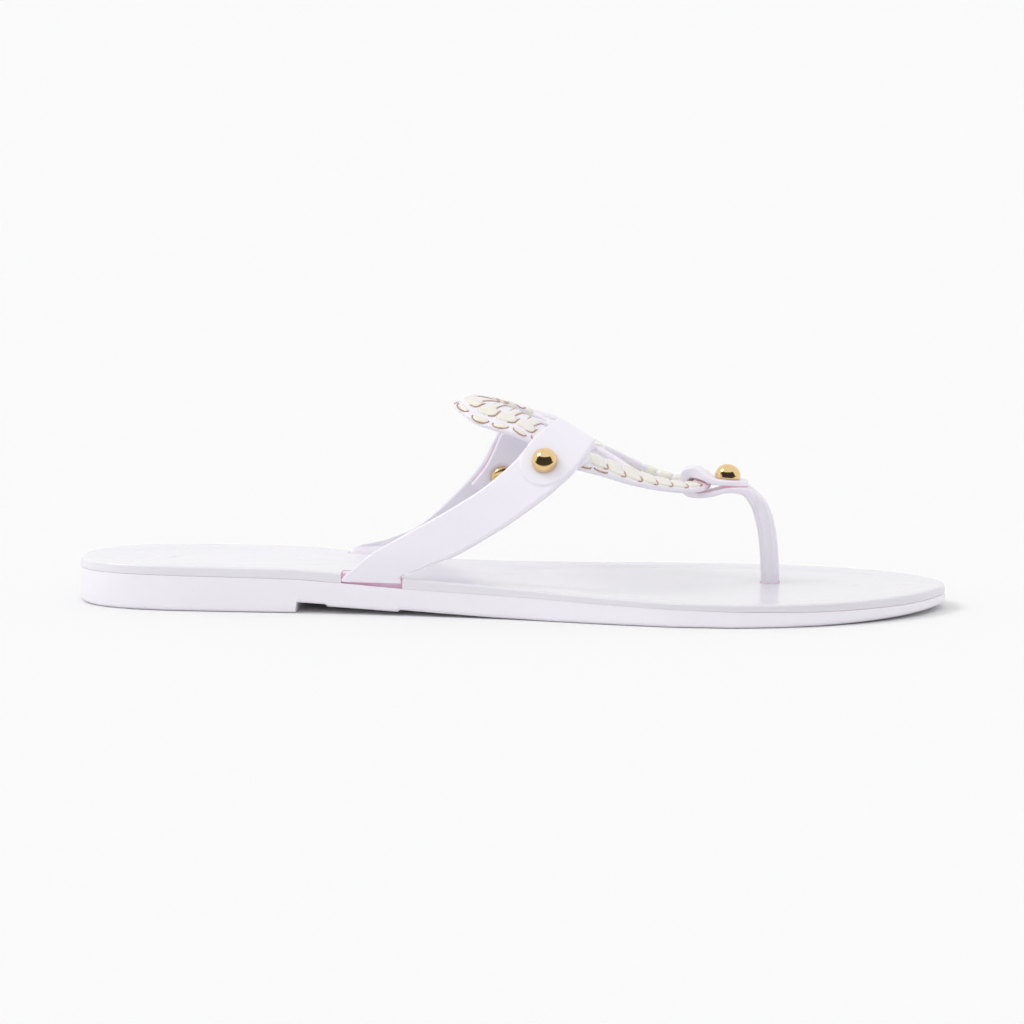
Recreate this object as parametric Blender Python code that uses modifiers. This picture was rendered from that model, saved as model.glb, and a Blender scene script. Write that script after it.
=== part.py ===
"""Right-foot jelly thong sandal: outsole, footbed, side straps, openwork vamp plate, toe post and studs.

Metres, +Z up. +X is the toe, +Y the medial (big toe) side, and the floor is Z = 0 under the sole's middle.
"""

import math

import bpy
import numpy as np
from mathutils import Matrix, Vector

# Driving sizes
SOLE_LENGTH = 0.254
BALL_WIDTH = 0.095
HEEL_HEIGHT = 0.0133
INSTEP_HEIGHT = 0.060
GAP = 0.0003
EDGE_ROUND = 0.0010
RIM_WIDTH = 0.0042
RECESS_SLOPE = 0.0058
RECESS_DEPTH = 0.00110
DISH_MARGIN = 0.0010
DISH_STEPS = ((0.0, 0.0), (0.25, 0.30), (0.65, 0.85), (1.0, 1.0))
LEDGE_WIDTH = 0.0028
TRAY_DEPTH = 0.0012
FLOOR_INSET = 0.0016
BREAST_SHARE = 0.2625
PAD_SHARES = (0.300, 0.380)
PAD_HEIGHT = 0.0006
STEP_SHARE = 0.003
SOLE_STATIONS = 40

# Tread bars
TREAD_DEPTH = 0.0008
TREAD_WIDTH = 0.0030
TREAD_INSET = 0.011
TREAD_SHARES = (0.06, 0.105, 0.15, 0.195, 0.60, 0.645, 0.69, 0.735, 0.845, 0.885)

# Straps and their roots
STRAP_THICKNESS = 0.0024
STRAP_CORNER = 0.0006
STRAP_STEPS = 3
LATERAL_ROOT = (-0.0468, -0.0288)
MEDIAL_ROOT = (-0.0498, -0.0308)
ROOT_OUTER = 0.0022
ROOT_INNER = 0.0062
ROOT_RISE = 0.0040
PEG_OUTER = 0.0024
PEG_INNER = 0.0060
PEG_DEPTH = 0.0026
PEG_END_INSET = 0.0020
PAD_RADIUS = 0.0074
PAD_PROUD = 0.0005

# Studs
STUD_RADIUS = 0.00375
STUD_RIM = 0.0005
STUD_DOME = 0.0034
SHANK_RADIUS = 0.0010
BACK_RADIUS = 0.0036
BACK_THICKNESS = 0.0012
TURN_STEPS = 24

# Vamp plate
PLATE_REAR = -0.0170
PLATE_LENGTH = 0.0750
PLATE_HALF_WIDTH = 0.0240
PLATE_AXIS_REAR_Y = 0.0005
PLATE_AXIS_FRONT_Y = 0.0110
FALL_REFERENCE = 0.020
FALL_POWER = 2.4
BORDER_THICKNESS = 0.0018
BAND_PROUD = 0.00045
BAND_COUNT = 34
BAND_SHARE_REAR = 0.50
BAND_SHARE_FRONT = 0.80
SPOKE_WIDTH = 0.0036
SPOKE_THICKNESS = 0.0018
HUB_CENTRE_SHARE = 0.47
HUB_RADIUS = 0.0070
HUB_STATIONS = 28
SPOKE_STATIONS = 7
WING_THICKNESS = 0.0016

# Toe post
POST_Y = 0.0115
POST_WIDTH = 0.0128
POST_REACH = 0.040
POST_HEIGHT = INSTEP_HEIGHT * 2 / 3
POST_AHEAD = 0.0175
POST_BASE_X = PLATE_REAR + PLATE_LENGTH + POST_AHEAD
FLANGE_SIZE = (0.0090, 0.0100, 0.0013)
FLANGE_DROP = 0.0016

# Sole outline: half widths as shares of BALL_WIDTH
OUTLINE = (
    # share, lateral, medial
    (0.000, 0.000, 0.000),
    (0.006, 0.093, 0.093),
    (0.020, 0.164, 0.162),
    (0.045, 0.224, 0.219),
    (0.080, 0.262, 0.255),
    (0.130, 0.283, 0.276),
    (0.190, 0.289, 0.280),
    (0.250, 0.291, 0.263),
    (0.310, 0.299, 0.236),
    (0.370, 0.316, 0.223),
    (0.440, 0.339, 0.242),
    (0.510, 0.368, 0.297),
    (0.580, 0.417, 0.379),
    (0.650, 0.465, 0.453),
    (0.710, 0.492, 0.497),
    (0.760, 0.493, 0.514),
    (0.810, 0.469, 0.507),
    (0.860, 0.419, 0.476),
    (0.910, 0.335, 0.419),
    (0.950, 0.232, 0.337),
    (0.980, 0.116, 0.238),
    (0.994, 0.021, 0.158),
    (1.000, -0.063, 0.063),
)

# Sole heights as shares of HEEL_HEIGHT; dish is how far the tread's recess is open, from 0 to 1
LEVELS = (
    # share, rim, parting, arch, dish
    (0.00, 0.970, 0.760, 0.233, 1.00),
    (0.08, 1.000, 0.782, 0.233, 1.00),
    (0.25, 1.000, 0.752, 0.233, 0.80),
    (0.31, 0.925, 0.692, 0.188, 0.00),
    (0.37, 0.842, 0.617, 0.135, 0.00),
    (0.44, 0.767, 0.556, 0.068, 0.00),
    (0.51, 0.699, 0.511, 0.015, 0.62),
    (0.58, 0.624, 0.466, 0.000, 0.90),
    (0.65, 0.571, 0.421, 0.000, 1.00),
    (0.71, 0.534, 0.383, 0.000, 1.00),
    (0.76, 0.519, 0.361, 0.000, 1.00),
    (0.81, 0.511, 0.346, 0.000, 1.00),
    (0.86, 0.504, 0.323, 0.008, 1.00),
    (0.91, 0.504, 0.316, 0.030, 1.00),
    (0.95, 0.511, 0.316, 0.060, 1.00),
    (0.98, 0.519, 0.331, 0.098, 1.00),
    (1.00, 0.526, 0.346, 0.135, 1.00),
)

# Vamp plate: ridge and fall as shares of INSTEP_HEIGHT, half widths and border as shares of PLATE_HALF_WIDTH
PLATE = (
    # share, ridge, fall, lateral, medial, border
    (0.000, 0.985, 0.380, 0.000, 0.000, 0.320),
    (0.030, 0.994, 0.370, 0.340, 0.340, 0.320),
    (0.080, 1.002, 0.320, 0.540, 0.540, 0.330),
    (0.160, 0.990, 0.180, 0.710, 0.710, 0.340),
    (0.260, 0.937, 0.095, 0.840, 0.830, 0.350),
    (0.370, 0.874, 0.078, 0.930, 0.900, 0.370),
    (0.470, 0.818, 0.078, 0.960, 0.930, 0.390),
    (0.600, 0.745, 0.088, 0.840, 0.830, 0.360),
    (0.720, 0.673, 0.105, 0.690, 0.690, 0.290),
    (0.830, 0.620, 0.130, 0.530, 0.530, 0.230),
    (0.920, 0.592, 0.155, 0.410, 0.410, 0.205),
    (0.975, 0.580, 0.165, 0.270, 0.270, 0.205),
    (1.000, 0.575, 0.170, 0.000, 0.000, 0.205),
)

# Side straps: outer-face edges; run is a share of SOLE_LENGTH, out of BALL_WIDTH, up of INSTEP_HEIGHT
LATERAL_STRAP = (
    # back run, back out, back up, front run, front out, front up
    (-0.1836, -0.3000, 0.158, -0.1140, -0.3200, 0.158),
    (-0.1836, -0.3010, 0.176, -0.1140, -0.3220, 0.196),
    (-0.1680, -0.3020, 0.232, -0.0930, -0.3330, 0.232),
    (-0.1430, -0.3030, 0.318, -0.0730, -0.3420, 0.272),
    (-0.0770, -0.3020, 0.480, -0.0480, -0.3470, 0.317),
    (-0.0270, -0.2900, 0.612, 0.0020, -0.3450, 0.448),
    (0.0080, -0.2620, 0.736, 0.0470, -0.3280, 0.587),
    (0.0240, -0.2350, 0.813, 0.0680, -0.3080, 0.664),
    (0.0390, -0.2020, 0.882, 0.0830, -0.2760, 0.725),
    (0.0590, -0.1230, 0.939, 0.1030, -0.1800, 0.842),
)
MEDIAL_STRAP = (
    # back run, back out, back up, front run, front out, front up
    (-0.1955, 0.2210, 0.162, -0.1220, 0.2170, 0.158),
    (-0.1955, 0.2220, 0.180, -0.1220, 0.2180, 0.198),
    (-0.1780, 0.2320, 0.222, -0.1040, 0.2500, 0.205),
    (-0.1520, 0.2480, 0.262, -0.0866, 0.2720, 0.228),
    (-0.1170, 0.2650, 0.340, -0.0670, 0.2950, 0.267),
    (-0.0740, 0.2760, 0.507, -0.0350, 0.3200, 0.372),
    (-0.0445, 0.2650, 0.655, -0.0010, 0.3150, 0.540),
    (-0.0330, 0.2630, 0.750, 0.0120, 0.3100, 0.642),
    (-0.0200, 0.2690, 0.852, 0.0290, 0.3150, 0.768),
    (-0.0030, 0.2570, 0.945, 0.0450, 0.2980, 0.878),
)
STUD_ROWS = {"lateral": 6.95, "medial": 6.0}
WING_ROWS = {"lateral": (6.3, 6.95, 7.5, 8.1), "medial": (5.4, 6.0, 6.8, 7.7)}
WING_ENDS = {
    # share, lateral or medial half-width share of the two surface points that end a wing inside the border
    "lateral": ((0.40, 0.78), (0.55, 0.76)),
    "medial": ((0.27, 0.80), (0.42, 0.84)),
}

# Toe post centre line from its foot up: ahead of POST_REACH, up of POST_HEIGHT, thick and wide of POST_WIDTH
POST = (
    # ahead of the base, up, heading in degrees, thick, wide
    (0.000, 0.062, 90, 0.41, 0.50),
    (0.000, 0.200, 90, 0.41, 0.50),
    (-0.008, 0.375, 92, 0.41, 0.50),
    (-0.030, 0.555, 100, 0.40, 0.50),
    (-0.075, 0.705, 115, 0.36, 0.56),
    (-0.135, 0.790, 138, 0.26, 0.70),
    (-0.205, 0.838, 162, 0.17, 0.92),
    (-0.320, 0.842, 182, 0.125, 0.98),
    (-0.425, 0.812, 188, 0.125, 0.86),
    (-0.540, 0.797, 180, 0.125, 0.66),
    (-0.620, 0.822, 140, 0.125, 0.54),
    (-0.655, 0.900, 90, 0.125, 0.52),
    (-0.625, 0.965, 40, 0.125, 0.54),
    (-0.560, 0.985, 0, 0.125, 0.66),
    (-0.490, 0.947, -27, 0.125, 0.86),
    (-0.425, 0.910, -12, 0.125, 0.96),
    (-0.320, 0.898, -6, 0.125, 1.00),
    (-0.235, 0.890, -5, 0.125, 0.88),
    (-0.185, 0.885, -5, 0.110, 0.60),
    (-0.165, 0.883, -5, 0.090, 0.30),
)
POST_STUD_ROW = 16
POST_LOWER_ROW = 7

COLOURS = {
    "white_jelly": ((0.86, 0.83, 0.90, 1.0), 0.32, 0.0),
    "footbed_jelly": ((0.83, 0.82, 0.86, 1.0), 0.28, 0.0),
    "pearl_stitch": ((0.87, 0.86, 0.78, 1.0), 0.30, 0.0),
    "gold_metal": ((0.90, 0.68, 0.32, 1.0), 0.12, 1.0),
}


def monotone(xs, ys):
    """Return a smooth function through the points that never overshoots them."""
    xs, ys = np.asarray(xs, float), np.asarray(ys, float)
    step, slope = np.diff(xs), np.diff(ys) / np.diff(xs)
    tangent = np.zeros(len(xs))
    tangent[0], tangent[-1] = slope[0], slope[-1]
    for i in range(1, len(xs) - 1):
        if slope[i - 1] * slope[i] > 0:
            a, b = 2 * step[i] + step[i - 1], step[i] + 2 * step[i - 1]
            tangent[i] = (a + b) / (a / slope[i - 1] + b / slope[i])

    def value(x):
        i = int(np.clip(np.searchsorted(xs, x) - 1, 0, len(xs) - 2))
        h, t = step[i], (x - xs[i]) / step[i]
        return float((2 * t**3 - 3 * t**2 + 1) * ys[i] + (t**3 - 2 * t**2 + t) * h * tangent[i]
                     + (3 * t**2 - 2 * t**3) * ys[i + 1] + (t**3 - t**2) * h * tangent[i + 1])

    return value


def end_angle(share):
    """Map a share of a length to an angle share, which spreads the stations round at both ends."""
    return math.acos(1 - 2 * min(max(share, 0.0), 1.0)) / math.pi


def column(table, index, scale):
    """Return a function of the share along a table for one of its columns, in metres."""
    curve = monotone([end_angle(row[0]) for row in table], [row[index] * scale for row in table])
    return lambda share: curve(end_angle(share))


lateral_half = column(OUTLINE, 1, BALL_WIDTH)
medial_half = column(OUTLINE, 2, BALL_WIDTH)
rim_height = column(LEVELS, 1, HEEL_HEIGHT)
parting_height = column(LEVELS, 2, HEEL_HEIGHT)
arch_height = column(LEVELS, 3, HEEL_HEIGHT)
dish_share = column(LEVELS, 4, 1.0)
plate_ridge = column(PLATE, 1, INSTEP_HEIGHT)
plate_fall = column(PLATE, 2, INSTEP_HEIGHT)
plate_lateral = column(PLATE, 3, PLATE_HALF_WIDTH)
plate_medial = column(PLATE, 4, PLATE_HALF_WIDTH)
border_width = column(PLATE, 5, PLATE_HALF_WIDTH)


def sole_x(share):
    return (share - 0.5) * SOLE_LENGTH


def sole_share(x):
    return x / SOLE_LENGTH + 0.5


def floor_height(share):
    """Return the height of the outsole's underside: heel block, breast step, strap pad, arch and toe spring."""
    if share <= BREAST_SHARE:
        return 0.0
    height = arch_height(share)
    if PAD_SHARES[0] <= share <= PAD_SHARES[1]:
        height -= PAD_HEIGHT
    return height


def sole_shares():
    """Return the shares of the sole's stations, close together at the ends and at each step."""
    even = [(1 - math.cos(math.pi * k / SOLE_STATIONS)) / 2 for k in range(SOLE_STATIONS + 1)]
    steps = [BREAST_SHARE, PAD_SHARES[0] - STEP_SHARE, PAD_SHARES[1]]
    crowded = [s for s in even if all(not step - STEP_SHARE < s < step + 2 * STEP_SHARE for step in steps)]
    return sorted(crowded + steps + [step + STEP_SHARE for step in steps])


def sole_outline():
    """Return (x, y, share) round the sole from the heel's tip by the medial side to the toe and back."""
    shares = sole_shares()
    inner = shares[1:-1]
    points = [(sole_x(0.0), 0.0, 0.0)]
    points += [(sole_x(s), medial_half(s), s) for s in inner]
    points.append((sole_x(1.0), medial_half(1.0), 1.0))
    points += [(sole_x(s), -lateral_half(s), s) for s in reversed(inner)]
    return points


def inset_outline(points, inset):
    """Move each outline point inwards along the outline's normal."""
    moved = []
    for i, (x, y, share) in enumerate(points):
        before, after = points[i - 1], points[(i + 1) % len(points)]
        tangent = Vector((after[0] - before[0], after[1] - before[1])).normalized()
        step = inset(share) if callable(inset) else inset
        moved.append((x + tangent.y * step, y - tangent.x * step, share))
    return moved


def new_object(name, vertices, faces, collection, colour=None):
    """Make a mesh object with its faces pointing out, in a collection, with its own material."""
    mesh = bpy.data.meshes.new(name)
    mesh.from_pydata([tuple(v) for v in vertices], [], faces)
    mesh.validate()
    obj = bpy.data.objects.new(name, mesh)
    collection.objects.link(obj)
    volume = sum(
        Vector(mesh.vertices[t.vertices[0]].co).dot(
            mesh.vertices[t.vertices[1]].co.cross(mesh.vertices[t.vertices[2]].co))
        for t in triangles_of(mesh))
    if volume < 0:
        mesh.flip_normals()
    if colour:
        mesh.materials.append(make_material(name, colour))
        mesh.shade_smooth()
        mesh.set_sharp_from_angle(angle=math.radians(35))
    else:
        obj.hide_render = True
        obj.display_type = "WIRE"
    return obj


def triangles_of(mesh):
    mesh.calc_loop_triangles()
    return mesh.loop_triangles


def make_material(name, colour):
    """Make the part's own Principled material."""
    base, roughness, metallic = COLOURS[colour]
    material = bpy.data.materials.new(name)
    material.use_nodes = True
    shader = material.node_tree.nodes["Principled BSDF"]
    shader.inputs["Base Color"].default_value = base
    shader.inputs["Roughness"].default_value = roughness
    shader.inputs["Metallic"].default_value = metallic
    return material


def loft(name, sections, collection, colour=None, closed=False):
    """Join equal rings of points into one closed skin, capped at both ends or closed into a loop."""
    count = len(sections[0])
    vertices = [point for section in sections for point in section]
    faces = []
    for k in range(len(sections) if closed else len(sections) - 1):
        a, b = k * count, ((k + 1) % len(sections)) * count
        for i in range(count):
            j = (i + 1) % count
            faces.append((a + i, a + j, b + j, b + i))
    if not closed:
        faces.append(tuple(reversed(range(count))))
        faces.append(tuple(range((len(sections) - 1) * count, len(sections) * count)))
    return new_object(name, vertices, faces, collection, colour)


def ring_stack(name, rings, collection, colour=None):
    """Loft rings that follow the sole's outline, and cap the first and last across the sole."""
    outline = sole_outline()
    count = len(outline)
    vertices = []
    for inset, level, rise in rings:
        vertices += [(x, y, level(share) + rise) for x, y, share in inset_outline(outline, inset)]
    faces = []
    for k in range(len(rings) - 1):
        a, b = k * count, (k + 1) * count
        faces += [(a + i, a + (i + 1) % count, b + (i + 1) % count, b + i) for i in range(count)]
    half = count // 2
    for base, flip in ((0, True), ((len(rings) - 1) * count, False)):
        for i in range(half):
            strip = [base + i, base + i + 1, base + (count - i - 1) % count, base + (count - i) % count]
            strip = list(dict.fromkeys(strip))
            faces.append(tuple(reversed(strip)) if flip else tuple(strip))
    return new_object(name, vertices, faces, collection, colour)


def edge_block(name, side, span, insets, levels, collection, colour=None, stations=5):
    """Loft a block along the sole's edge between two insets and two height functions of x."""
    half = medial_half if side > 0 else lateral_half
    sections = []
    for k in range(stations):
        x = span[0] + (span[1] - span[0]) * k / (stations - 1)
        edge = half(sole_share(x))
        outer, inner = side * (edge - insets[0]), side * (edge - insets[1])
        low, high = levels[0](x), levels[1](x)
        sections.append([(x, outer, low), (x, inner, low), (x, inner, high), (x, outer, high)])
    return loft(name, sections, collection, colour)


def boolean(obj, other, operation):
    """Add an exact Boolean modifier."""
    modifier = obj.modifiers.new(other.name, "BOOLEAN")
    modifier.operation = operation
    modifier.solver = "EXACT"
    modifier.use_self = operation == "UNION"
    modifier.object = other


def ribbon_section(centre, across, normal, width, thickness, corner):
    """Return the eight points of a flat section with cut corners."""
    w, t = width / 2, thickness / 2
    c = min(corner, t * 0.9)
    profile = ((-w + c, -t), (w - c, -t), (w, -t + c), (w, t - c),
               (w - c, t), (-w + c, t), (-w, t - c), (-w, -t + c))
    return [centre + across * u + normal * v for u, v in profile]


def above_parting(rise):
    """Return a height function of x that runs a set distance above the parting line."""
    return lambda x: parting_height(sole_share(x)) + rise


def strap_edges(rows, place):
    """Return the outer-face edge points of a strap at a fractional row, by a Catmull-Rom curve."""
    i = min(int(place), len(rows) - 2)
    t = place - i
    points = [rows[min(max(i + k, 0), len(rows) - 1)] for k in (-1, 0, 1, 2)]
    values = []
    for a, b, c, d in zip(*points):
        bend = (2 * a - 5 * b + 4 * c - d) * t**2 + (3 * b - a - 3 * c + d) * t**3
        values.append(0.5 * (2 * b + (c - a) * t + bend))
    scale = (SOLE_LENGTH, BALL_WIDTH, INSTEP_HEIGHT)
    back = Vector([values[k] * scale[k] for k in range(3)])
    front = Vector([values[k + 3] * scale[k] for k in range(3)])
    return back, front


def strap_frame(rows, side, place):
    """Return the outer-face centre, the across direction, the outward normal and the width at a row."""
    back, front = strap_edges(rows, place)
    step = 0.05
    before, after = max(place - step, 0.0), min(place + step, len(rows) - 1.0)
    along = sum(strap_edges(rows, after), Vector()) - sum(strap_edges(rows, before), Vector())
    across = front - back
    normal = across.cross(along).normalized()
    if normal.y * side < 0:
        normal = -normal
    return (back + front) / 2, across.normalized(), normal, across.length


def build_strap(name, side, rows, root, parts, guides):
    """Build one side strap with its end pad, root block and peg, and return it."""
    end = len(rows) - 1
    stud_row = STUD_ROWS[name]
    sections = []
    for k in range(end * STRAP_STEPS + 1):
        place = k / STRAP_STEPS
        centre, across, normal, width = strap_frame(rows, side, place)
        extra = PAD_PROUD if place > stud_row else 0.0
        middle = centre + normal * (extra - STRAP_THICKNESS) / 2
        sections.append(ribbon_section(middle, across, normal, width, STRAP_THICKNESS + extra, STRAP_CORNER))
    strap = loft("strap_" + name, sections, parts, "white_jelly")
    centre, across, normal, _ = strap_frame(rows, side, stud_row)
    along = normal.cross(across)
    ring = [math.tau * k / 32 for k in range(32)]
    disc = [[centre + (across * math.cos(a) + along * math.sin(a)) * radius + normal * height for a in ring]
            for radius, height in ((PAD_RADIUS, -STRAP_THICKNESS / 2), (PAD_RADIUS, PAD_PROUD * 0.5),
                                   (PAD_RADIUS - PAD_PROUD, PAD_PROUD + GAP / 2))]
    boolean(strap, loft(name + "_pad", disc, guides), "UNION")
    span = (root[0] + GAP, root[1] - GAP)
    levels = (above_parting(GAP), above_parting(ROOT_RISE))
    boolean(strap, edge_block(name + "_root", side, span, (ROOT_OUTER, ROOT_INNER), levels, guides), "UNION")
    span = (root[0] + PEG_END_INSET, root[1] - PEG_END_INSET)
    levels = (above_parting(-PEG_DEPTH), above_parting(2 * GAP))
    boolean(strap, edge_block(name + "_peg", side, span, (PEG_OUTER, PEG_INNER), levels, guides), "UNION")
    return strap


def cut_strap_seat(name, side, root, footbed, outsole, guides):
    """Cut the notch in the footbed's rim and the peg's pocket in the outsole."""
    span = (root[0] - GAP, root[1] + GAP)
    insets = (-LEDGE_WIDTH, ROOT_INNER + GAP)
    levels = (above_parting(-2 * TRAY_DEPTH), above_parting(2 * HEEL_HEIGHT))
    boolean(footbed, edge_block(name + "_notch", side, span, insets, levels, guides), "DIFFERENCE")
    span = (root[0] + PEG_END_INSET - GAP, root[1] - PEG_END_INSET + GAP)
    insets = (PEG_OUTER - GAP, PEG_INNER + GAP)
    levels = (above_parting(-PEG_DEPTH - GAP), above_parting(2 * HEEL_HEIGHT))
    boolean(outsole, edge_block(name + "_pocket", side, span, insets, levels, guides), "DIFFERENCE")


def dish_inset(part):
    """Return how far in from the edge a line on the tread's slope runs: it meets in a point at the waist."""
    def inset(share):
        room = min(lateral_half(share), medial_half(share)) - RIM_WIDTH - RECESS_SLOPE - DISH_MARGIN
        return RIM_WIDTH + RECESS_SLOPE * part + max(room, 0.0) * (1 - dish_share(share))
    return inset


def dish_level(part):
    """Return the height of a line on the tread's slope, which fades out with the recess at the waist."""
    return lambda share: rim_height(share) - RECESS_DEPTH * part * min(2 * dish_share(share), 1.0)


def build_sole(parts, guides):
    """Build the outsole and the footbed that lies in its tray."""
    outsole = ring_stack("outsole", (
        (FLOOR_INSET, floor_height, 0.0),
        (FLOOR_INSET / 3, floor_height, EDGE_ROUND / 3),
        (0.0, floor_height, EDGE_ROUND * 1.3),
        (0.0, parting_height, -EDGE_ROUND / 2),
        (EDGE_ROUND / 3, parting_height, 0.0),
        (LEDGE_WIDTH, parting_height, 0.0),
        (LEDGE_WIDTH, parting_height, -TRAY_DEPTH),
    ), parts, "white_jelly")
    footbed = ring_stack("footbed", (
        (LEDGE_WIDTH + GAP, parting_height, GAP - TRAY_DEPTH),
        (LEDGE_WIDTH + GAP, parting_height, GAP),
        (EDGE_ROUND / 2, parting_height, GAP),
        (0.0, parting_height, GAP + EDGE_ROUND / 2),
        (0.0, rim_height, -EDGE_ROUND * 0.9),
        (EDGE_ROUND * 0.3, rim_height, -EDGE_ROUND * 0.3),
        (EDGE_ROUND, rim_height, 0.0),
        *((dish_inset(run), dish_level(sunk), 0.0) for run, sunk in DISH_STEPS),
    ), parts, "footbed_jelly")
    for number, share in enumerate(TREAD_SHARES):
        x = sole_x(share)
        y0, y1 = -(lateral_half(share) - TREAD_INSET), medial_half(share) - TREAD_INSET
        top = floor_height(share) + TREAD_DEPTH
        half = TREAD_WIDTH / 2
        corners = [(x - half, y0), (x + half, y0), (x + half, y1), (x - half, y1)]
        bar = loft(f"tread_{number:02d}", [[(a, b, z) for a, b in corners] for z in (-TREAD_DEPTH, top)], guides)
        boolean(outsole, bar, "DIFFERENCE")
    return outsole, footbed


def axis_y(share):
    """Return the vamp plate's centre line in plan."""
    return PLATE_AXIS_REAR_Y + (PLATE_AXIS_FRONT_Y - PLATE_AXIS_REAR_Y) * share


def plate_point(share, offset):
    """Return the point of the plate's middle surface at a share along it and a sideways offset."""
    drop = plate_fall(share) * (abs(offset) / FALL_REFERENCE) ** FALL_POWER
    return Vector((PLATE_REAR + PLATE_LENGTH * share, axis_y(share) + offset, plate_ridge(share) - drop))


def plate_normal(share, offset):
    """Return the upward normal of the plate's middle surface."""
    d_share, d_offset = 0.004, 0.0003
    low, high = max(share - d_share, 0.0), min(share + d_share, 1.0)
    along = plate_point(high, offset) - plate_point(low, offset)
    across = plate_point(share, offset + d_offset) - plate_point(share, offset - d_offset)
    return along.cross(across).normalized()


def border_path(places):
    """Return (share, offset) round the border's centre line, evenly spaced, from the rear by the medial side."""
    fine = 720
    raw = []
    for k in range(fine):
        turn = math.tau * k / fine
        share = (1 - math.cos(turn)) / 2
        half = plate_medial(share) if turn <= math.pi else -plate_lateral(share)
        raw.append(Vector((share * PLATE_LENGTH, half)))
    inset = []
    for k, point in enumerate(raw):
        tangent = (raw[(k + 1) % fine] - raw[k - 1]).normalized()
        width = border_width(point.x / PLATE_LENGTH)
        inset.append(point + Vector((tangent.y, -tangent.x)) * width / 2)
    lengths = np.array([(inset[(k + 1) % fine] - inset[k]).length for k in range(fine)])
    travelled = np.concatenate([[0.0], np.cumsum(lengths)])
    xs, ys = [p.x for p in inset] + [inset[0].x], [p.y for p in inset] + [inset[0].y]
    marks = [travelled[-1] * place for place in places]
    return [(np.interp(m, travelled, xs) / PLATE_LENGTH, np.interp(m, travelled, ys)) for m in marks]


def strip_sections(path, widths, thicknesses, closed):
    """Return ribbon sections that lie on the plate's middle surface along a path of (share, offset)."""
    sections = []
    count = len(path)
    for k, (share, offset) in enumerate(path):
        before = path[k - 1] if closed or k > 0 else path[k]
        after = path[(k + 1) % count] if closed or k < count - 1 else path[k]
        along = plate_point(*after) - plate_point(*before)
        normal = plate_normal(share, offset)
        across = normal.cross(along).normalized()
        sections.append(ribbon_section(plate_point(share, offset), across, normal, widths[k], thicknesses[k],
                                       STRAP_CORNER))
    return sections


def build_border(parts):
    """Build the plate's border strip with its whipstitch bands raised from it."""
    marks, raised = [], []
    for band in range(BAND_COUNT):
        start = band / BAND_COUNT
        front = (1 - math.cos(math.tau * start)) / 2
        share = BAND_SHARE_REAR + (BAND_SHARE_FRONT - BAND_SHARE_REAR) * front
        edge = 0.12
        for place, up in ((0.0, 1), (share, 1), (share + edge * (1 - share) * 2, 0), (1 - edge * (1 - share), 0)):
            marks.append(start + place / BAND_COUNT)
            raised.append(up)
    path = border_path(marks)
    widths, thicknesses = [], []
    for (share, _), up in zip(path, raised):
        widths.append(border_width(share) + 2 * BAND_PROUD * (up - 1))
        thicknesses.append(BORDER_THICKNESS + 2 * BAND_PROUD * up)
    return loft("vamp_plate", strip_sections(path, widths, thicknesses, True), parts, "pearl_stitch", closed=True)


def hub_point(angle, radius):
    """Return (share, offset) of a point round the openwork's hub."""
    return HUB_CENTRE_SHARE + radius * math.cos(angle) / PLATE_LENGTH, radius * math.sin(angle)


def build_openwork(plate, guides):
    """Join the plain ring and the six spokes of the openwork to the border."""
    ring = [hub_point(math.tau * k / HUB_STATIONS, HUB_RADIUS) for k in range(HUB_STATIONS)]
    size = [SPOKE_WIDTH] * HUB_STATIONS
    thick = [SPOKE_THICKNESS] * HUB_STATIONS
    boolean(plate, loft("hub_ring", strip_sections(ring, size, thick, True), guides, closed=True), "UNION")
    for number in range(6):
        angle = math.tau * (number + 0.5) / 6
        inner = HUB_RADIUS - SPOKE_WIDTH * 0.2
        outer = inner
        while True:
            share, offset = hub_point(angle, outer)
            edge = plate_medial(share) if offset > 0 else plate_lateral(share)
            if abs(offset) > edge - border_width(share) * 0.6 or outer > PLATE_HALF_WIDTH * 1.2:
                break
            outer += EDGE_ROUND / 4
        path = [hub_point(angle, inner + (outer - inner) * k / (SPOKE_STATIONS - 1)) for k in range(SPOKE_STATIONS)]
        sections = strip_sections(path, [SPOKE_WIDTH] * SPOKE_STATIONS,
                                  [SPOKE_THICKNESS - GAP] * SPOKE_STATIONS, False)
        boolean(plate, loft(f"spoke_{number}", sections, guides), "UNION")


def build_wing(name, side, rows, plate, guides):
    """Join a side tab to the plate: it lies under the strap's end and runs into the border."""
    drop = STRAP_THICKNESS + GAP + WING_THICKNESS / 2
    sections = []
    for place in WING_ROWS[name]:
        centre, across, normal, width = strap_frame(rows, side, place)
        sections.append(ribbon_section(centre - normal * drop, across, normal, width - 2 * EDGE_ROUND,
                                       WING_THICKNESS, STRAP_CORNER))
    half = plate_medial if side > 0 else plate_lateral
    back, front = (plate_point(share, side * half(share) * part) for share, part in WING_ENDS[name])
    middle = (back + front) / 2
    share, part = (sum(values) / 2 for values in zip(*WING_ENDS[name]))
    normal = plate_normal(share, side * half(share) * part)
    sections.append(ribbon_section(middle, (front - back).normalized(), normal, (front - back).length,
                                   WING_THICKNESS, STRAP_CORNER))
    boolean(plate, loft(name + "_wing", sections, guides), "UNION")


def post_frame(row):
    """Return a toe post section's centre, normal, heading, thickness and width."""
    ahead, up, heading, thick, wide = POST[row]
    centre = Vector((POST_BASE_X + ahead * POST_REACH, POST_Y, up * POST_HEIGHT))
    angle = math.radians(heading)
    normal = Vector((-math.sin(angle), 0.0, math.cos(angle)))
    return centre, normal, thick * POST_WIDTH, wide * POST_WIDTH


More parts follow.
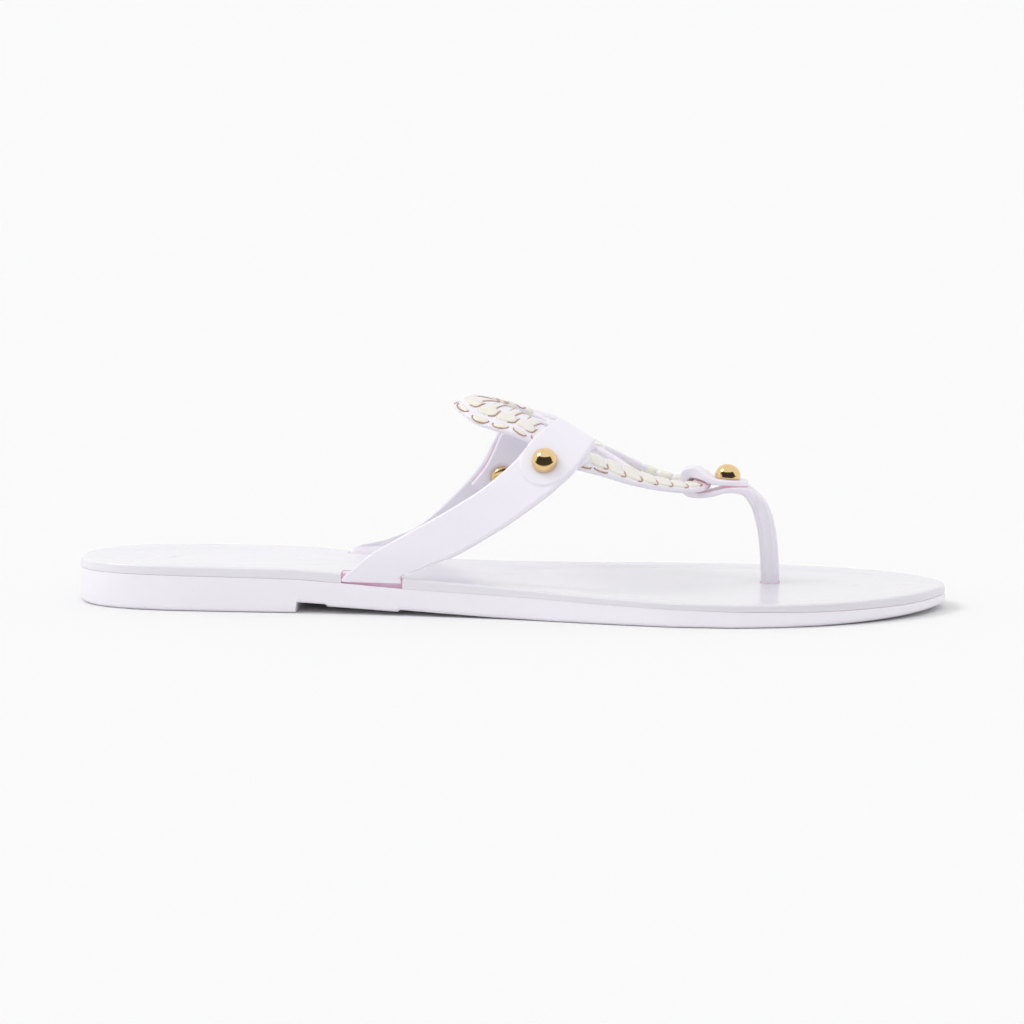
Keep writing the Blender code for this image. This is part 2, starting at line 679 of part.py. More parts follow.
def build_post(parts, guides):
    """Build the toe post: a stem whose top folds round the plate's front border and is studded to itself."""
    across = Vector((0.0, 1.0, 0.0))
    sections = []
    for row in range(len(POST)):
        centre, normal, thick, wide = post_frame(row)
        sections.append(ribbon_section(centre, across, normal, wide, thick, STRAP_CORNER))
    post = loft("toe_post", sections, parts, "white_jelly")
    level = parting_height(sole_share(POST_BASE_X)) - TRAY_DEPTH - FLANGE_DROP
    boolean(post, box("post_flange", (POST_BASE_X, POST_Y, level + FLANGE_SIZE[2] / 2), FLANGE_SIZE, guides), "UNION")
    return post


def box(name, centre, size, collection):
    """Make a plain box."""
    x, y, z = (s / 2 for s in size)
    ring = ((-x, -y), (x, -y), (x, y), (-x, y))
    sections = [[(centre[0] + a, centre[1] + b, centre[2] + c) for a, b in ring] for c in (-z, z)]
    return loft(name, sections, collection)


def cut_post_seat(footbed, outsole, guides):
    """Cut the stem's hole in the footbed and the flange's pocket in the outsole."""
    _, _, thick, wide = post_frame(0)
    share = sole_share(POST_BASE_X)
    hole = (thick + 2 * GAP, wide + 2 * GAP, 2 * HEEL_HEIGHT)
    boolean(footbed, box("post_hole", (POST_BASE_X, POST_Y, HEEL_HEIGHT / 2), hole, guides), "DIFFERENCE")
    low = parting_height(share) - TRAY_DEPTH - FLANGE_DROP - GAP
    size = (FLANGE_SIZE[0] + 2 * GAP, FLANGE_SIZE[1] + 2 * GAP, HEEL_HEIGHT)
    boolean(outsole, box("post_pocket", (POST_BASE_X, POST_Y, low + HEEL_HEIGHT / 2), size, guides), "DIFFERENCE")


def frame_matrix(centre, normal):
    """Return a placement whose Z axis is the normal."""
    rotation = normal.to_track_quat("Z", "Y").to_matrix().to_4x4()
    return Matrix.Translation(centre) @ rotation


def turned(name, profile, matrix, collection, colour=None):
    """Make a turned solid from a profile with a Screw modifier."""
    mesh = bpy.data.meshes.new(name)
    mesh.from_pydata([(r, 0.0, z) for r, z in profile], [(k, k + 1) for k in range(len(profile) - 1)], [])
    obj = bpy.data.objects.new(name, mesh)
    collection.objects.link(obj)
    obj.matrix_world = matrix
    screw = obj.modifiers.new("turn", "SCREW")
    screw.steps = screw.render_steps = TURN_STEPS
    screw.use_merge_vertices = True
    screw.merge_threshold = 0.00001
    if colour:
        mesh.materials.append(make_material(name, colour))
    else:
        obj.hide_render = True
        obj.display_type = "WIRE"
    return obj


def build_stud(name, seat, normal, grip, cut, parts, guides, with_back=True):
    """Build a domed stud with its shank, its back cap, and the holes that the shank passes through."""
    steps = 6
    turns = [math.pi / 2 * k / steps for k in range(steps + 1)]
    dome = [(STUD_RADIUS * math.sin(a), STUD_RIM + STUD_DOME * math.cos(a)) for a in turns]
    depth = grip + GAP
    profile = dome + [(STUD_RADIUS, 0.0), (SHANK_RADIUS, 0.0), (SHANK_RADIUS, -depth), (0.0, -depth)]
    turned("stud_" + name, profile, frame_matrix(seat + normal * GAP, normal), parts, "gold_metal")
    reach = grip + GAP
    if with_back:
        back = [(0.0, 0.0), (BACK_RADIUS, 0.0), (BACK_RADIUS, -BACK_THICKNESS / 2),
                (BACK_RADIUS * 0.7, -BACK_THICKNESS), (0.0, -BACK_THICKNESS)]
        seat_back = frame_matrix(seat - normal * (grip + 2 * GAP), normal)
        turned("stud_back_" + name, back, seat_back, parts, "gold_metal")
        reach = grip + EDGE_ROUND
    hole = [(0.0, reach), (SHANK_RADIUS + GAP, reach), (SHANK_RADIUS + GAP, -reach), (0.0, -reach)]
    cutter = turned(name + "_hole", hole, frame_matrix(seat, normal), guides)
    for obj in cut:
        boolean(obj, cutter, "DIFFERENCE")


def main():
    """Build the sandal."""
    for obj in list(bpy.data.objects):
        bpy.data.objects.remove(obj, do_unlink=True)
    parts = bpy.data.collections.new("jelly_thong_sandal")
    guides = bpy.data.collections.new("cutters")
    for collection in (parts, guides):
        bpy.context.scene.collection.children.link(collection)
    outsole, footbed = build_sole(parts, guides)
    plate = build_border(parts)
    build_openwork(plate, guides)
    sides = (("lateral", -1, LATERAL_STRAP, LATERAL_ROOT), ("medial", 1, MEDIAL_STRAP, MEDIAL_ROOT))
    for name, side, rows, root in sides:
        strap = build_strap(name, side, rows, root, parts, guides)
        cut_strap_seat(name, side, root, footbed, outsole, guides)
        build_wing(name, side, rows, plate, guides)
        centre, _, normal, _ = strap_frame(rows, side, STUD_ROWS[name])
        grip = STRAP_THICKNESS + PAD_PROUD + GAP + WING_THICKNESS
        build_stud(name, centre + normal * (PAD_PROUD + GAP / 2), normal, grip, (strap, plate), parts, guides)
    post = build_post(parts, guides)
    cut_post_seat(footbed, outsole, guides)
    centre, normal, thick, _ = post_frame(POST_STUD_ROW)
    lower = post_frame(POST_LOWER_ROW)[0]
    grip = centre.z - lower.z + thick / 2
    build_stud("toe", centre + normal * thick / 2, normal, grip, (post,), parts, guides, with_back=False)


main()
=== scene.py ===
"""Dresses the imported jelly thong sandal: sole, side straps, stitched vamp plate, toe post and studs.

Metres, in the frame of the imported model: +X is the toe, +Y the medial side, Z = 0 the floor.
"""

import logging
import math
from collections.abc import Callable, Sequence
from dataclasses import dataclass, field
from enum import Enum
from functools import cached_property

import bmesh
import bpy
import numpy as np
from mathutils import Matrix, Vector


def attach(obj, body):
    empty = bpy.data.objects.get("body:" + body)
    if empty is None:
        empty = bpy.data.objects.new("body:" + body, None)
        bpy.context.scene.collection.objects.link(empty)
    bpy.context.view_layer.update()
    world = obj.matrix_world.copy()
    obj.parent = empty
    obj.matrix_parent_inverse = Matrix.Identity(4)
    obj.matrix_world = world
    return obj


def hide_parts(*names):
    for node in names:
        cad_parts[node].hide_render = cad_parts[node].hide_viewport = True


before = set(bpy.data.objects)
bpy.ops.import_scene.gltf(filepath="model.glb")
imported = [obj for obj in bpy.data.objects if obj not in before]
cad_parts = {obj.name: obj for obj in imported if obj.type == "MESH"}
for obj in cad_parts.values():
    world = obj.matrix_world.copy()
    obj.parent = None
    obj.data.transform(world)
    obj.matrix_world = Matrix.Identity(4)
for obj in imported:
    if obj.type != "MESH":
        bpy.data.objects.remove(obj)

log = logging.getLogger("jelly_sandal")

MM = 0.001
SHARP_ANGLE = 38.0
PHOTO_PIXELS = 1024

Row = tuple[float, ...]
Curve = Callable[[float], float]
Point2 = tuple[float, float]


class Slot(Enum):
    """The record's material slots."""

    JELLY = "white_jelly"
    FOOTBED = "footbed_jelly"
    PEARL = "pearl_stitch"
    GOLD = "gold_metal"


class Side(Enum):
    """The sandal's two sides, by the sign of Y."""

    LATERAL = -1
    MEDIAL = 1


# Curves, meshes and lofts


def monotone(xs: Sequence[float], ys: Sequence[float]) -> Curve:
    """Make a smooth function through points that never overshoots them.

    Args:
        xs: Rising positions.
        ys: The value at each position.

    Returns:
        The function.
    """
    places, values = np.asarray(xs, float), np.asarray(ys, float)
    step, slope = np.diff(places), np.diff(values) / np.diff(places)
    tangent = np.zeros(len(places))
    tangent[0], tangent[-1] = slope[0], slope[-1]
    for i in range(1, len(places) - 1):
        if slope[i - 1] * slope[i] > 0:
            a, b = 2 * step[i] + step[i - 1], step[i] + 2 * step[i - 1]
            tangent[i] = (a + b) / (a / slope[i - 1] + b / slope[i])

    def value(x: float) -> float:
        """Find the curve's value.

        Args:
            x: The position.

        Returns:
            The value there.
        """
        i = int(np.clip(np.searchsorted(places, x) - 1, 0, len(places) - 2))
        h, t = step[i], (x - places[i]) / step[i]
        return float((2 * t**3 - 3 * t**2 + 1) * values[i] + (t**3 - 2 * t**2 + t) * h * tangent[i]
                     + (3 * t**2 - 2 * t**3) * values[i + 1] + (t**3 - t**2) * h * tangent[i + 1])

    return value


def end_angle(share: float) -> float:
    """Map a share of a length to a share of a half turn, which opens out both ends."""
    return math.acos(1 - 2 * min(max(share, 0.0), 1.0)) / math.pi


def column(table: Sequence[Row], index: int, scale: float) -> Curve:
    """Make a function of the share along a table for one of its columns.

    Args:
        table: Rows that start with a share from 0 to 1.
        index: The column.
        scale: The size in metres that the column's values are shares of.

    Returns:
        The function, in metres.
    """
    curve = monotone([end_angle(row[0]) for row in table], [row[index] * scale for row in table])
    return lambda share: curve(end_angle(share))


def smooth(low: float, high: float, x: float) -> float:
    """Return 0 below low, 1 above high and a smooth ramp between them."""
    t = min(max((x - low) / (high - low), 0.0), 1.0)
    return t * t * (3 - 2 * t)


def spline_row(rows: Sequence[Row], place: float) -> list[float]:
    """Read a table at a fractional row, by a Catmull-Rom curve.

    Args:
        rows: The table.
        place: The row, with its fraction.

    Returns:
        The row's values.
    """
    i = min(max(int(place), 0), len(rows) - 2)
    t = place - i
    near = [rows[min(max(i + k, 0), len(rows) - 1)] for k in (-1, 0, 1, 2)]
    values = []
    for a, b, c, d in zip(*near):
        bend = (2 * a - 5 * b + 4 * c - d) * t**2 + (3 * b - a - 3 * c + d) * t**3
        values.append(0.5 * (2 * b + (c - a) * t + bend))
    return values


@dataclass
class Skin:
    """A growing list of vertices and faces, which ends as one mesh object."""

    vertices: list[Vector] = field(default_factory=list)
    faces: list[tuple[int, ...]] = field(default_factory=list)

    def add_loft(self, rings: Sequence[Sequence[Vector]], closed: bool = False,
                 capped: bool = True) -> None:
        """Join equal rings of points into a skin.

        Args:
            rings: The rings, each with the same number of points.
            closed: Whether the last ring joins the first.
            capped: Whether an open skin gets a face at both ends.
        """
        base, count = len(self.vertices), len(rings[0])
        for ring in rings:
            self.vertices.extend(Vector(point) for point in ring)
        for k in range(len(rings) if closed else len(rings) - 1):
            a, b = base + k * count, base + ((k + 1) % len(rings)) * count
            for i in range(count):
                j = (i + 1) % count
                self.faces.append((a + i, a + j, b + j, b + i))
        if capped and not closed:
            self.faces.append(tuple(base + i for i in reversed(range(count))))
            self.faces.append(tuple(base + (len(rings) - 1) * count + i for i in range(count)))

    def add_shell(self, top: Sequence[Sequence[Vector]], under: Sequence[Sequence[Vector]]) -> None:
        """Join two equal grids of points into a closed patch with an upper and a lower face.

        Args:
            top: The upper grid, as rows of points.
            under: The lower grid.
        """
        base, high, wide = len(self.vertices), len(top), len(top[0])
        for grid in (top, under):
            for row in grid:
                self.vertices.extend(Vector(point) for point in row)
        low = base + high * wide
        for j in range(high - 1):
            for i in range(wide - 1):
                a = j * wide + i
                quad = (a, a + 1, a + wide + 1, a + wide)
                self.faces.append(tuple(base + q for q in quad))
                self.faces.append(tuple(low + q for q in reversed(quad)))
        rim = list(range(wide))
        rim += [j * wide + wide - 1 for j in range(1, high)]
        rim += [(high - 1) * wide + i for i in range(wide - 2, -1, -1)]
        rim += [j * wide for j in range(high - 2, 0, -1)]
        for k, a in enumerate(rim):
            b = rim[(k + 1) % len(rim)]
            self.faces.append((base + b, base + a, low + a, low + b))

    def add_tube(self, path: Sequence[Vector], radius: float, sides: int = 7) -> None:
        """Add a round tube along a path, thinner at both ends.

        Args:
            path: The points that it follows.
            radius: Its radius in metres.
            sides: The number of points round it.
        """
        rings = []
        last = len(path) - 1
        for k, point in enumerate(path):
            along = (path[min(k + 1, last)] - path[max(k - 1, 0)]).normalized()
            side = along.cross(Vector((0.13, 0.31, 0.94))).normalized()
            up = side.cross(along)
            size = radius if 0 < k < last else radius * 0.45
            rings.append([point + (side * math.cos(a) + up * math.sin(a)) * size
                          for a in (math.tau * n / sides for n in range(sides))])
        self.add_loft(rings)

    def add_skin(self, other: "Skin") -> None:
        """Take in another skin.

        Args:
            other: The skin to add.
        """
        base = len(self.vertices)
        self.vertices += other.vertices
        self.faces += [tuple(base + i for i in face) for face in other.faces]

    def mesh(self, name: str) -> bpy.types.Mesh:
        """Make a mesh of the skin, with its faces turned outward.

        Args:
            name: The mesh's name.

        Returns:
            The mesh.
        """
        mesh = bpy.data.meshes.new(name)
        mesh.from_pydata([tuple(v) for v in self.vertices], [], self.faces)
        outward = bmesh.new()
        outward.from_mesh(mesh)
        bmesh.ops.recalc_face_normals(outward, faces=outward.faces)
        outward.to_mesh(mesh)
        outward.free()
        return mesh

    def finish(self, name: str, material: bpy.types.Material, slot: Slot, nodes: Sequence[str],
               angle: float = SHARP_ANGLE) -> bpy.types.Object:
        """Make the mesh object, give it its finish, attach it to the root body and hide the CAD nodes that
        it stands for.

        Args:
            name: The piece's name.
            material: Its material.
            slot: Its material slot in the record; not used.
            nodes: The CAD nodes that it stands for.
            angle: The angle in degrees above which an edge stays sharp.

        Returns:
            The object.
        """
        mesh = self.mesh(name)
        mesh.materials.append(material)
        mesh.shade_smooth()
        mesh.set_sharp_from_angle(angle=math.radians(angle))
        obj = bpy.data.objects.new(name, mesh)
        bpy.context.scene.collection.objects.link(obj)
        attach(obj, "root")
        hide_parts(*nodes)
        log.info("%s: %d faces", name, len(mesh.polygons))
        return obj


def cut(obj: bpy.types.Object, cutter: Skin) -> None:
    """Cut a shape out of a piece for good.

    Args:
        obj: The piece.
        cutter: The shape to take away.
    """
    tool = bpy.data.objects.new("cutter", cutter.mesh("cutter"))
    bpy.context.scene.collection.objects.link(tool)
    modifier = obj.modifiers.new("cut", "BOOLEAN")
    modifier.operation = "DIFFERENCE"
    modifier.solver = "EXACT"
    modifier.object = tool
    graph = bpy.context.evaluated_depsgraph_get()
    made = bpy.data.meshes.new_from_object(obj.evaluated_get(graph))
    obj.modifiers.clear()
    obj.data = made
    made.shade_smooth()
    made.set_sharp_from_angle(angle=math.radians(SHARP_ANGLE))
    bpy.data.objects.remove(tool)


def rounded_profile(width: float, thickness: float, radius: float, top: int, under: int, steps: int = 4,
                    inset: float = 0.0) -> list[Point2]:
    """Lay out a flat section with rounded edges, whose outer face is at height 0.

    Args:
        width: The section's width.
        thickness: Its thickness.
        radius: The radius of its four edges.
        top: The number of points on the outer face.
        under: The number of points on the inner face.
        steps: The number of steps on each rounded edge.
        inset: How far the whole outline is drawn in, for a rounded end.

    Returns:
        The (across, up) points: the outer face first, from the back edge to the front edge.
    """
    r = max(min(radius, thickness / 2 * 0.98) - inset, 0.02 * MM)
    half, high, low = width / 2 - inset, -inset, -thickness + inset
    points = [(-half + r + (2 * half - 2 * r) * k / (top - 1), high) for k in range(top)]
    for k in range(1, steps + 1):
        a = math.pi / 2 * k / steps
        points.append((half - r + r * math.sin(a), high - r + r * math.cos(a)))
    for k in range(steps):
        a = math.pi / 2 * k / steps
        points.append((half - r + r * math.cos(a), low + r - r * math.sin(a)))
    points += [(half - r - (2 * half - 2 * r) * k / (under - 1), low) for k in range(under)]
    for k in range(1, steps + 1):
        a = math.pi / 2 * k / steps
        points.append((-half + r - r * math.sin(a), low + r - r * math.cos(a)))
    for k in range(steps):
        a = math.pi / 2 * k / steps
        points.append((-half + r - r * math.cos(a), high - r + r * math.sin(a)))
    return points


# Finishes


GREY = (0.8, 0.8, 0.8, 1.0)
WHITE = (1.0, 1.0, 1.0, 1.0)
BLACK = (0.0, 0.0, 0.0, 1.0)


@dataclass
class NodeTree:
    """Adds nodes to a shader tree and joins them."""

    tree: bpy.types.NodeTree

    def add(self, kind: str, inputs: dict[str | int, object] | None = None,
            **settings: object) -> bpy.types.Node:
        """Add a node.

        Args:
            kind: The node's type, without the ShaderNode in front.
            inputs: A value, or the output socket of another node, for each named or numbered input.
            **settings: The node's own settings.

        Returns:
            The node.
        """
        node = self.tree.nodes.new(kind if kind.startswith("NodeGroup") else "ShaderNode" + kind)
        for name, value in settings.items():
            setattr(node, name, value)
        for key, value in (inputs or {}).items():
            if isinstance(value, bpy.types.NodeSocket):
                self.tree.links.new(value, node.inputs[key])
            else:
                node.inputs[key].default_value = value
        return node

    def math(self, operation: str, a: object, b: object = 0.0, clamp: bool = False) -> bpy.types.NodeSocket:
        """Add a Math node and return its output."""
        return self.add("Math", {0: a, 1: b}, operation=operation, use_clamp=clamp).outputs[0]

    def mix(self, factor: object, a: object, b: object) -> bpy.types.NodeSocket:
        """Add a colour mix and return its output."""
        return self.add("Mix", {0: factor, 6: a, 7: b}, data_type="RGBA").outputs[2]

    def ramp(self, value: object, low: float, high: float) -> bpy.types.NodeSocket:
        """Map a value from low..high to 0..1, held at both ends, and return the output."""
        return self.add("MapRange", {"Value": value, "From Min": low, "From Max": high}).outputs[0]

    def noise(self, place: object, scale: object, detail: float) -> bpy.types.NodeSocket:
        """Add a noise texture and return its value."""
        return self.add("TexNoise", {"Vector": place, "Scale": scale, "Detail": detail}).outputs[0]

    def coordinate(self, axis: int) -> bpy.types.NodeSocket:
        """Return one of the shaded point's own coordinates: 0 is X, 1 is Y and 2 is Z."""
        return self.add("SeparateXYZ", {0: self.add("TexCoord").outputs["Object"]}).outputs[axis]

    def in_mirrors(self, amount: object) -> bpy.types.NodeSocket:
        """Return an amount that only mirror rays see."""
        return self.math("MULTIPLY", amount, self.add("LightPath").outputs["Is Glossy Ray"])

    def link(self, output: bpy.types.NodeSocket, node: bpy.types.Node, name: str) -> None:
        """Join an output to a node's named input."""
        self.tree.links.new(output, node.inputs[name])


GroupStart = tuple[bpy.types.NodeTree, NodeTree, bpy.types.Node, bpy.types.Node]
MaterialStart = tuple[bpy.types.Material, NodeTree, bpy.types.Node, bpy.types.Node]


def new_group(name: str, inputs: dict[str, object], outputs: dict[str, str]) -> GroupStart:
    """Start a shader node group with named sockets.

    Args:
        name: The group's name.
        inputs: Each input's name and default; a tuple makes a colour socket.
        outputs: Each output's name and socket type.

    Returns:
        The group, its node adder, and its input and output nodes.
    """
    group = bpy.data.node_groups.new(name, "ShaderNodeTree")
    for label, value in inputs.items():
        kind = "NodeSocketColor" if isinstance(value, tuple) else "NodeSocketFloat"
        group.interface.new_socket(label, in_out="INPUT", socket_type=kind).default_value = value
    for label, kind in outputs.items():
        group.interface.new_socket(label, in_out="OUTPUT", socket_type=kind)
    nodes = NodeTree(group)
    return group, nodes, nodes.add("NodeGroupInput"), nodes.add("NodeGroupOutput")


@dataclass
class Effects:
    """The node groups that the finishes share."""

    # crevice shade: ambient occlusion within this reach, over this span, marks where painted pink shade and
    # a painted glow go
    crevice_shade_reach: float = 2.2 * MM
    crevice_shade_span: Point2 = (0.42, 0.95)
    cloud_span: Point2 = (0.35, 0.65)
    scratch_span: Point2 = (0.62, 0.70)
    scratches: tuple[Point2, ...] = ((0.5, 18.0), (2.1, 14.0))
    moulded: bpy.types.NodeTree = field(init=False)
    scuffs: bpy.types.NodeTree = field(init=False)

    def __post_init__(self) -> None:
        """Build each group once."""
        self.moulded = self.build_moulded()
        self.scuffs = self.build_scuffs()

    def build_moulded(self) -> bpy.types.NodeTree:
        """Build the surface of moulded PVC: cloudy tone, painted pink shade and a painted glow in its
        crevices, and fine grain.

        Returns:
            The group, with outputs Colour, Gloss, Height and Glow: Colour carries the painted crevice
            shade, and Glow is a painted glow in the crevices.
        """
        group, nodes, given, result = new_group(
            "moulded_surface_with_painted_shade",
            {"Tone": GREY, "Cloud": GREY, "Crevice Shade": GREY, "Cloud Scale": 30.0, "Grain Scale": 1500.0,
             "Crevice Shade Amount": 1.0, "Gloss": 0.3, "Gloss Spread": 0.08},
            {"Colour": "NodeSocketColor", "Gloss": "NodeSocketFloat", "Height": "NodeSocketFloat",
             "Painted Glow": "NodeSocketColor"})
        value = given.outputs
        place = nodes.add("TexCoord").outputs["Object"]
        cloud = nodes.noise(place, value["Cloud Scale"], 3.0)
        fine = nodes.noise(place, value["Grain Scale"], 2.0)
        tone = nodes.mix(nodes.ramp(cloud, *self.cloud_span), value["Tone"], value["Cloud"])
        # painted shade: occluded crevices are painted in the crevice colour, and the same colour feeds a
        # painted glow
        shade = nodes.add("AmbientOcclusion", {"Distance": self.crevice_shade_reach}, samples=8)
        crevice_shade_mask = nodes.ramp(nodes.math("SUBTRACT", 1.0, shade.outputs["AO"]), *self.crevice_shade_span)
        crevice_shade_mask = nodes.math("MULTIPLY", crevice_shade_mask, value["Crevice Shade Amount"])
        spread = nodes.math("MULTIPLY", nodes.math("SUBTRACT", cloud, 0.5), value["Gloss Spread"])
        nodes.link(nodes.mix(crevice_shade_mask, tone, value["Crevice Shade"]), result, "Colour")
        nodes.link(nodes.mix(crevice_shade_mask, BLACK, value["Crevice Shade"]), result, "Painted Glow")
        nodes.link(nodes.math("ADD", value["Gloss"], spread, True), result, "Gloss")
        nodes.link(fine, result, "Height")
        return group

    def build_scuffs(self) -> bpy.types.NodeTree:
        """Build faint rub marks: thin, long scratches in a few directions.

        Returns:
            The group, with output Mask.
        """
        group, nodes, given, result = new_group("rub_marks", {"Scale": 120.0, "Amount": 0.5},
                                                {"Mask": "NodeSocketFloat"})
        place = nodes.add("TexCoord").outputs["Object"]
        total: object = 0.0
        for turn, stretch in self.scratches:
            mapped = nodes.add("Mapping", {"Vector": place, "Rotation": (0.3, turn, turn),
                                           "Scale": (1, stretch, 1)}).outputs[0]
            lines = nodes.noise(mapped, given.outputs["Scale"], 4.0)
            total = nodes.math("ADD", total, nodes.ramp(lines, *self.scratch_span))
        nodes.link(nodes.math("MULTIPLY", total, given.outputs["Amount"], True), result, "Mask")
        return group


def new_material(name: str) -> tuple[bpy.types.Material, NodeTree, bpy.types.Node]:
    """Start a material.

    Args:
        name: The material's name.

    Returns:
        The material, its node adder and its Principled shader.
    """
    material = bpy.data.materials.new(name)
    material.use_nodes = True
    return material, NodeTree(material.node_tree), material.node_tree.nodes["Principled BSDF"]


@dataclass(frozen=True)
class MouldedFinish:
    """What the PVC finishes share: tones, gloss, grain and painted shade in the crevices on one moulded
    surface.
    """

    name: str
    tone: Row
    cloud: Row
    # the crevice colour here and its amount below set the painted shade in crevices, and in jelly also the
    # painted glow
    crevice_shade: Row
    gloss: float
    gloss_spread: float = 0.08
    crevice_shade_amount: float = 1.0
    cloud_scale: float = 32.0
    grain_scale: float = 1500.0
    grain_depth: float = 0.010 * MM
    grain_strength: float = 0.25

    def start(self, effects: Effects) -> MaterialStart:
        """Start the material: the moulded surface gives the colour with its painted crevice shade, the
        gloss and the grain.

        Args:
            effects: The shared node groups.

        Returns:
            The material, its node adder, its Principled shader and the moulded surface's node.
        """
        material, nodes, shader = new_material(self.name)
        values = {"Tone": (*self.tone, 1.0), "Cloud": (*self.cloud, 1.0), "Crevice Shade": (*self.crevice_shade, 1.0),
                  "Cloud Scale": self.cloud_scale, "Grain Scale": self.grain_scale, "Gloss": self.gloss,
                  "Crevice Shade Amount": self.crevice_shade_amount, "Gloss Spread": self.gloss_spread}
        surface = nodes.add("Group", values, node_tree=effects.moulded)
        nodes.link(surface.outputs["Colour"], shader, "Base Color")
        nodes.link(surface.outputs["Gloss"], shader, "Roughness")
        if self.grain_strength > 0:
            bump = nodes.add("Bump", {"Height": surface.outputs["Height"], "Strength": self.grain_strength,
                                      "Distance": self.grain_depth})
            nodes.link(bump.outputs[0], shader, "Normal")
        return material, nodes, shader, surface


@dataclass(frozen=True)
class JellyFinish(MouldedFinish):
    """Moulded PVC with a faint lilac body that lets a little light through, a painted glow in its crevices
    and, where asked, painted shade towards the toe.
    """

    coat: float = 0.15
    coat_gloss: float = 0.12
    # painted glow: emission strength of the crevice colour
    painted_glow: float = 0.20
    # front_shade: painted shade, the tone darkened towards the toe over front_span
    front_shade: float = 1.0
    front_span: Point2 = (-0.02, 0.05)
    subsurface: float = 0.12
    subsurface_radius: Row = (1.0, 0.62, 0.80)
    subsurface_scale: float = 1.2 * MM

    def build(self, effects: Effects) -> bpy.types.Material:
        """Build the material.

        Args:
            effects: The shared node groups.

        Returns:
            The material.
        """
        material, nodes, shader, surface = self.start(effects)
        # painted shade: the tone is multiplied darker towards the toe
        front = nodes.ramp(nodes.coordinate(0), *self.front_span)
        shade = nodes.mix(front, WHITE, (*(self.front_shade,) * 3, 1.0))
        tone = nodes.add("Mix", {0: 1.0, 6: surface.outputs["Colour"], 7: shade}, data_type="RGBA",
                         blend_type="MULTIPLY")
        nodes.link(tone.outputs[2], shader, "Base Color")
        # painted glow: the crevice colour is emitted
        nodes.link(surface.outputs["Painted Glow"], shader, "Emission Color")
        values = {"Emission Strength": self.painted_glow, "Coat Weight": self.coat,
                  "Coat Roughness": self.coat_gloss, "Subsurface Weight": self.subsurface,
                  "Subsurface Radius": self.subsurface_radius, "Subsurface Scale": self.subsurface_scale}
        for key, value in values.items():
            shader.inputs[key].default_value = value
        return material


@dataclass(frozen=True)
class PearlFinish(MouldedFinish):
    """Pearly stitch bands: cream in the middle, with a cooler sheen painted into the colour where they turn
    away.
    """

    # turned: the painted sheen colour where the bands face away
    turned: Row = (1.0, 1.0, 1.0)
    sheen_blend: float = 0.45
    sheen_span: Point2 = (0.25, 0.9)
    coat: float = 0.5
    coat_gloss: float = 0.15

    def build(self, effects: Effects) -> bpy.types.Material:
        """Build the material.

        Args:
            effects: The shared node groups.

        Returns:
            The material.
        """
        material, nodes, shader, surface = self.start(effects)
        # painted sheen: the colour shifts towards the turned tone at grazing angles
        facing = nodes.add("LayerWeight", {"Blend": self.sheen_blend}).outputs["Facing"]
        away = nodes.ramp(facing, *self.sheen_span)
        shine = nodes.mix(away, surface.outputs["Colour"], (*self.turned, 1.0))
        nodes.link(shine, shader, "Base Color")
        shader.inputs["Coat Weight"].default_value = self.coat
        shader.inputs["Coat Roughness"].default_value = self.coat_gloss
        return material


@dataclass(frozen=True)
class OutlineFinish(MouldedFinish):
    """The thin tan line round each stitch."""

    def build(self, effects: Effects) -> bpy.types.Material:
        """Return the material, given the shared node groups."""
        return self.start(effects)[0]


@dataclass(frozen=True)
class GoldFinish:
    """Polished pale gold plate with faint rub marks."""

    name: str
    gold: Row
    rubbed: Row
    mark_scale: float = 160.0
    mark_amount: float = 0.35
    gloss: float = 0.055
    mark_gloss: float = 0.10

    def build(self, effects: Effects) -> bpy.types.Material:
        """Build the material.

        Args:
            effects: The shared node groups.

        Returns:
            The material.
        """
        material, nodes, shader = new_material(self.name)
        marks = nodes.add("Group", {"Scale": self.mark_scale, "Amount": self.mark_amount},
                          node_tree=effects.scuffs).outputs["Mask"]
        nodes.link(nodes.mix(marks, (*self.gold, 1.0), (*self.rubbed, 1.0)), shader, "Base Color")
        gloss = nodes.math("ADD", nodes.math("MULTIPLY", marks, self.mark_gloss), self.gloss)
        nodes.link(gloss, shader, "Roughness")
        shader.inputs["Metallic"].default_value = 1.0
        return material


